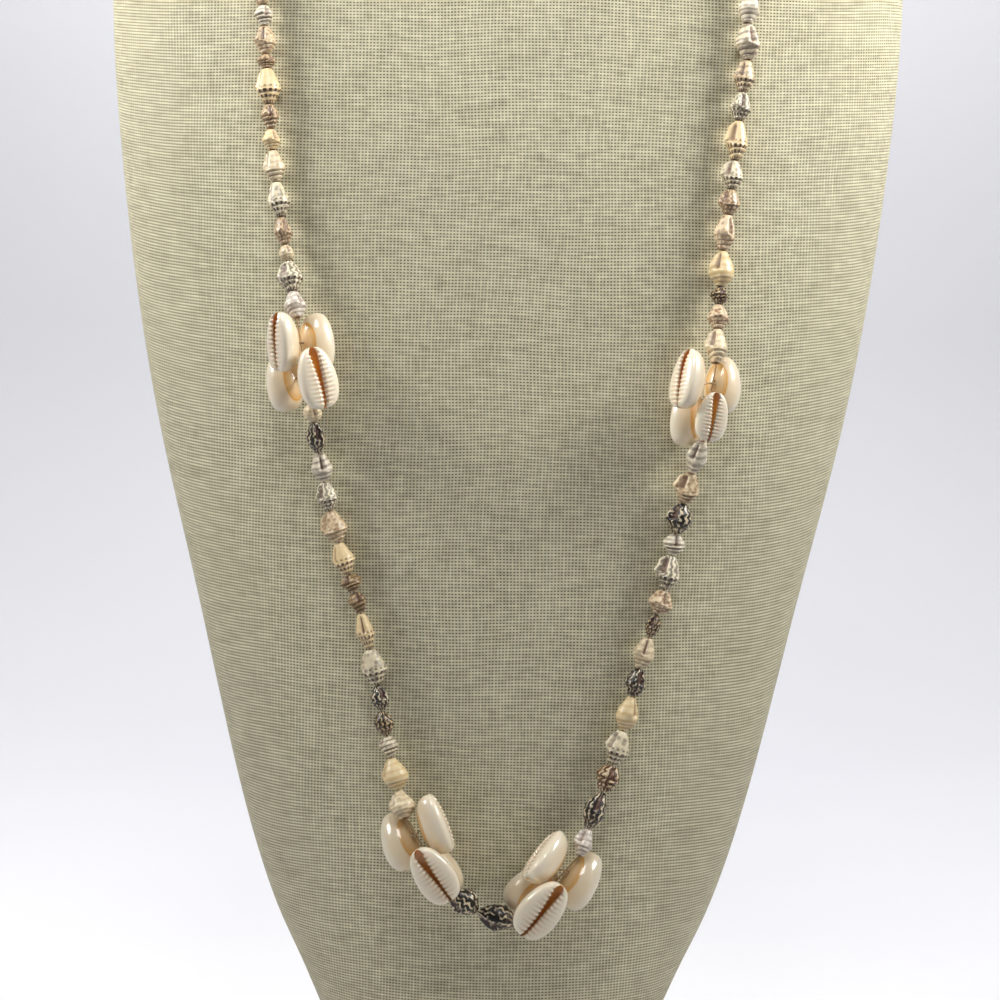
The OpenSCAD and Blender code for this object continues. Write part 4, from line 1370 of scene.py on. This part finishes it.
    def tree(self, finish: bpy.types.Material, bases: bpy.types.Collection) -> bpy.types.NodeTree:
        """Build the node tree that lays a base shell on every point of the strand.

        Args:
            finish: The shells' material.
            bases: The base shells, one of each kind.

        Returns:
            The tree.
        """
        tree = bpy.data.node_groups.new(self.node + "_laying", "GeometryNodeTree")
        sockets = tree.interface
        sockets.new_socket("Geometry", in_out="INPUT", socket_type="NodeSocketGeometry")
        sockets.new_socket("Geometry", in_out="OUTPUT", socket_type="NodeSocketGeometry")
        for name, kind, value in (
            ("Girth", "NodeSocketFloat", 1.0), ("Sway", "NodeSocketFloat", 0.0), ("Seed", "NodeSocketInt", 0),
        ):
            sockets.new_socket(name, in_out="INPUT", socket_type=kind).default_value = value
        entry = add(tree, "NodeGroupInput")
        shelf = add(
            tree, "GeometryNodeCollectionInfo",
            {"Collection": bases, "Separate Children": True, "Reset Children": True},
            transform_space="ORIGINAL",
        )
        pick = add(tree, "GeometryNodeInputNamedAttribute", {"Name": "pick"}, data_type="INT")
        turn = add(tree, "GeometryNodeInputNamedAttribute", {"Name": "turn"}, data_type="FLOAT_VECTOR")
        size = add(tree, "GeometryNodeInputNamedAttribute", {"Name": "size"}, data_type="FLOAT_VECTOR")
        wide = entry.outputs["Girth"]
        girth = add(tree, "ShaderNodeCombineXYZ", {0: wide, 1: wide, 2: 1.0})
        scale = add(
            tree, "ShaderNodeVectorMath", {0: size.outputs[0], 1: girth.outputs[0]}, operation="MULTIPLY"
        )
        laid = add(tree, "GeometryNodeInstanceOnPoints", {
            "Points": entry.outputs["Geometry"],
            "Instance": shelf.outputs[0],
            "Pick Instance": True,
            "Instance Index": pick.outputs[0],
            "Rotation": turn.outputs[0],
            "Scale": scale.outputs[0],
        })
        least = add(tree, "ShaderNodeMath", {0: entry.outputs["Sway"], 1: -1.0}, operation="MULTIPLY")
        chance = add(
            tree, "FunctionNodeRandomValue",
            {"Seed": entry.outputs["Seed"], 2: least.outputs[0], 3: entry.outputs["Sway"]}, data_type="FLOAT",
        )
        tilt = add(tree, "ShaderNodeCombineXYZ", {0: chance.outputs[1]})
        swayed = add(
            tree, "GeometryNodeRotateInstances", {"Instances": laid.outputs[0], "Rotation": tilt.outputs[0]}
        )
        solid = add(tree, "GeometryNodeRealizeInstances", {"Geometry": swayed.outputs[0]})
        dressed = add(tree, "GeometryNodeSetMaterial", {"Geometry": solid.outputs[0], "Material": finish})
        add(tree, "NodeGroupOutput", {0: dressed.outputs[0]})
        return tree

    def build(
        self, bust: LinenBust, finish: bpy.types.Material, bases: bpy.types.Collection
    ) -> bpy.types.Object:
        """Build the strand's shells as one mesh.

        Args:
            bust: The form that the strand lies on.
            finish: The shells' material.
            bases: The base shells.

        Returns:
            The piece.
        """
        rows = self.rows(bust)
        guide = mesh_object(self.node + "_places", np.array([r["place"] for r in rows]), [])
        data = guide.data
        store(data, "turn", np.array([self.turn_of(r["axes"]) for r in rows]))
        sizes = np.array([r["size"] for r in rows], dtype=float)
        sizes[np.array([r["place"][1] > self.nape_from for r in rows]), :2] *= self.nape_slim
        store(data, "size", sizes)
        data.attributes.new("pick", "INT", "POINT").data.foreach_set("value", [r["pick"] for r in rows])
        paints = [r["paint"] for r in rows]
        store(data, "base_tone", np.array([linear(p.base)[:3] for p in paints]))
        store(data, "mark_tone", np.array([linear(p.mark)[:3] for p in paints]))
        store(data, "pattern", np.array([(p.speckles, p.dashes, p.flames) for p in paints]))
        store(data, "bands", np.array([p.bands for p in paints]))
        store(data, "seed", np.array([r["seed"] for r in rows]))
        laying = guide.modifiers.new("laying", "NODES")
        laying.node_group = self.tree(finish, bases)
        wanted = {"Girth": self.girth, "Sway": math.radians(self.sway), "Seed": self.seed}
        for item in laying.node_group.interface.items_tree:
            if item.in_out == "INPUT" and item.name in wanted:
                laying[item.identifier] = wanted[item.name]
        bpy.context.view_layer.update()
        evaluated = guide.evaluated_get(bpy.context.evaluated_depsgraph_get())
        mesh = bpy.data.meshes.new_from_object(evaluated)
        guide.modifiers.remove(laying)
        bpy.data.objects.remove(guide)
        mesh.name = self.node + "_whelks"
        piece = bpy.data.objects.new(self.node + "_whelks", mesh)
        bpy.context.scene.collection.objects.link(piece)
        own(piece, Slot.SMALL_SHELL, self.node)
        return piece

    @staticmethod
    def turn_of(axes: np.ndarray) -> tuple[float, float, float]:
        """Turn a rotation, axes as columns, into the three angles about X, Y and Z."""
        down = math.hypot(axes[0, 0], axes[1, 0])
        return (
            math.atan2(axes[2, 1], axes[2, 2]),
            math.atan2(-axes[2, 0], down),
            math.atan2(axes[1, 0], axes[0, 0]),
        )


@dataclass
class Necklace:
    """The whole necklace: strands of small shells, clusters of cowries, thread and ties."""

    bust: LinenBust
    clusters: str = "1234"
    places: str = "abcd"
    tiers: str = "ab"
    hidden: str = "cB tK cA sB oO cH sD lG cC tJ"
    seed: int = 3

    def base_shells(self) -> bpy.types.Collection:
        """Build one base shell of each kind, out of sight.

        Returns:
            The collection that holds them.
        """
        shelf = bpy.data.collections.new("base_shells")
        for number, form in enumerate(WHELKS):
            piece = form.build(number)
            bpy.context.scene.collection.objects.unlink(piece)
            shelf.objects.link(piece)
        return shelf

    def strands(self) -> list[ShellStrand]:
        """The five strands with their charts, each shell a kind and a paint, read downwards."""
        return [
            ShellStrand("shells_left_upper", "cA sB cC sD cE sD cF lG cH cD eG cI cN", self.hidden, seed=11),
            ShellStrand("shells_left_side", "eG tJ cB cI lC cE sM sM cE cH tJ tL sK oO oG", seed=12),
            ShellStrand("shells_bottom", "tJ tJ", seed=13),
            ShellStrand("shells_right_side", "cB lC tJ sB lI cA tL rG cJ oO cH sQ tJ lN", seed=14),
            ShellStrand("shells_right_upper", "cD cB cK cP cI lE lH cD cA oO sL cA lG", self.hidden, seed=15),
        ]

    def build(self) -> list[bpy.types.Object]:
        """Build and dress every piece of the necklace.

        Returns:
            The pieces.
        """
        pieces = []
        whelk = NaturalShell().material()
        shelf = self.base_shells()
        for strand in self.strands():
            pieces.append(strand.build(self.bust, whelk, shelf))
            LOG.info("%s: %d faces", pieces[-1].name, len(pieces[-1].data.polygons))
        for item in list(shelf.objects):
            bpy.data.objects.remove(item)
        bpy.data.collections.remove(shelf)
        enamel = PolishedCowrie().material()
        rng = np.random.default_rng(self.seed)
        for cluster in self.clusters:
            for place in self.places:
                shell = CowrieShell(f"cowrie_{cluster}{place}", float(rng.uniform(0, 1)))
                pieces.append(shell.build(enamel))
                LOG.info("%s: %d faces", pieces[-1].name, len(pieces[-1].data.polygons))
        nylon = ClearNylon().material()
        for name in ["thread"] + [f"tie_{c}{t}" for c in self.clusters for t in self.tiers]:
            node = frame["nodes"][name]
            node.data.materials.clear()
            node.data.materials.append(nylon)
            pieces.append(node)
            LOG.info("%s: dressed", name)
        return pieces


@dataclass(frozen=True)
class Lamp:
    """A soft square lamp: where it hangs, the point it faces, its side, watts, colour and fan in degrees."""

    name: str
    place: tuple[float, float, float]
    aim: tuple[float, float, float]
    size: float
    power: float
    tone: str = "#fffdf8"
    spread: float = 180.0

    def hang(self) -> None:
        """Add the lamp to the scene."""
        light = bpy.data.lights.new(self.name, "AREA")
        light.shape = "SQUARE"
        light.size = self.size
        light.energy = self.power
        light.spread = math.radians(self.spread)
        light.color = linear(self.tone)[:3]
        item = bpy.data.objects.new(self.name, light)
        bpy.context.scene.collection.objects.link(item)
        away = np.array(self.place) - np.array(self.aim)
        away = away / np.linalg.norm(away)
        item.location = self.place
        item.rotation_euler = (math.acos(away[2]), 0, math.atan2(away[1], away[0]) + math.pi / 2)


LAMPS = (
    Lamp("left_panel", (-0.62, -0.15, 0.68), (0, 0, 0.46), 0.3, 1.32, spread=66.0),
    Lamp("right_panel", (0.62, -0.15, 0.7), (0, 0, 0.46), 0.3, 1.65, spread=68.0),
    Lamp("ceiling", (0.0, -0.42, 0.76), (0, -0.04, 0.36), 0.24, 0.42, "#ffffff", 80.0),
    Lamp("backdrop_glow", (0.0, 0.3, 1.6), (0, 1.1, 0.92), 0.9, 21.5, "#fdfcff"),
)


@dataclass
class Studio:
    """Pale floor that sweeps up behind, soft lights and the camera."""

    sweep_front: float = -2.0
    sweep_back: float = 0.75
    sweep_up: float = 1.6
    sweep_side: float = 2.2
    bend: float = 0.35
    bend_steps: int = 17
    # Matt paper, whose faint clouds of this size leave an even, pale ground
    paper: tuple[str, str] = ("#eeeff2", "#f7f7f9")
    paper_cloud: float = 333.3 * MM
    paper_rough: float = 0.85
    # The room lights the part far less than it shows beside the paper
    room: str = "#f2f4f8"
    room_light: float = 0.07
    room_shown: float = 0.8
    # The photo spans this width at the necklace, seen from this far away
    view_width: float = 280 * MM
    distance: float = 520 * MM
    necklace_depth: float = -45 * MM
    camera_side: float = 0.3 * MM
    chest_share: float = 0.759
    roll: float = math.radians(-1.0)

    def floor(self) -> bpy.types.Object:
        """Build the floor and its sweep.

        Returns:
            The floor.
        """
        path = [(self.sweep_front, 0.0)]
        path += [
            (self.sweep_back + self.bend * math.sin(a), self.bend * (1 - math.cos(a)))
            for a in np.linspace(0, math.pi / 2, self.bend_steps)
        ]
        path.append((self.sweep_back + self.bend, self.sweep_up))
        points = np.array([(x, y, z) for y, z in path for x in (-self.sweep_side, self.sweep_side)])
        faces = [(2 * i, 2 * i + 1, 2 * i + 3, 2 * i + 2) for i in range(len(path) - 1)]
        item = mesh_object("floor", points, faces)
        mat, tree, shader = begin("pale_paper_sweep")
        place = add(tree, "ShaderNodeTexCoord").outputs["Object"]
        cloud = add(
            tree, "ShaderNodeTexNoise", {"Vector": place, "Scale": 1 / self.paper_cloud}
        ).outputs["Fac"]
        dim, bright = (linear(tone) for tone in self.paper)
        colour = add(tree, "ShaderNodeMix", {0: cloud, 6: dim, 7: bright}, data_type="RGBA").outputs[2]
        plug(tree, shader, {"Base Color": colour, "Roughness": self.paper_rough})
        item.data.materials.append(mat)
        return item

    def light(self) -> None:
        """Hang the lamps and set the room's own light."""
        for lamp in LAMPS:
            lamp.hang()
        world = bpy.data.worlds.new("room")
        world.use_nodes = True
        tree = world.node_tree
        ray = add(tree, "ShaderNodeLightPath").outputs["Is Camera Ray"]
        level = add(
            tree, "ShaderNodeMapRange", {0: ray, 3: self.room_light, 4: self.room_shown}
        ).outputs[0]
        plug(tree, tree.nodes["Background"], {0: linear(self.room), 1: level})
        bpy.context.scene.world = world

    def camera(self) -> None:
        """Set the camera at the photo's place and angle, with the photo's plain contrast."""
        bpy.context.scene.view_settings.view_transform = "Standard"
        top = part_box("bust")[1][2]
        lens = bpy.data.cameras.new("camera")
        lens.angle = 2 * math.atan(self.view_width / 2 / self.distance)
        lens.clip_start = 0.01
        item = bpy.data.objects.new("camera", lens)
        bpy.context.scene.collection.objects.link(item)
        level = self.chest_share * top - self.view_width / 2
        item.location = (self.camera_side, self.necklace_depth - self.distance, level)
        item.rotation_euler = (math.pi / 2, self.roll, 0)
        bpy.context.scene.camera = item


def main() -> None:
    """Build the bust, the necklace and the studio, and report each piece."""
    logging.basicConfig(level=logging.INFO, format="%(name)s: %(message)s")
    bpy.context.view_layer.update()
    studio = Studio()
    studio.camera()
    studio.floor()
    studio.light()
    bust = LinenBust()
    form = bust.build()
    LOG.info("%s: %d faces", form.name, len(form.data.polygons))
    Necklace(bust).build()


if __name__ == "__main__":
    main()
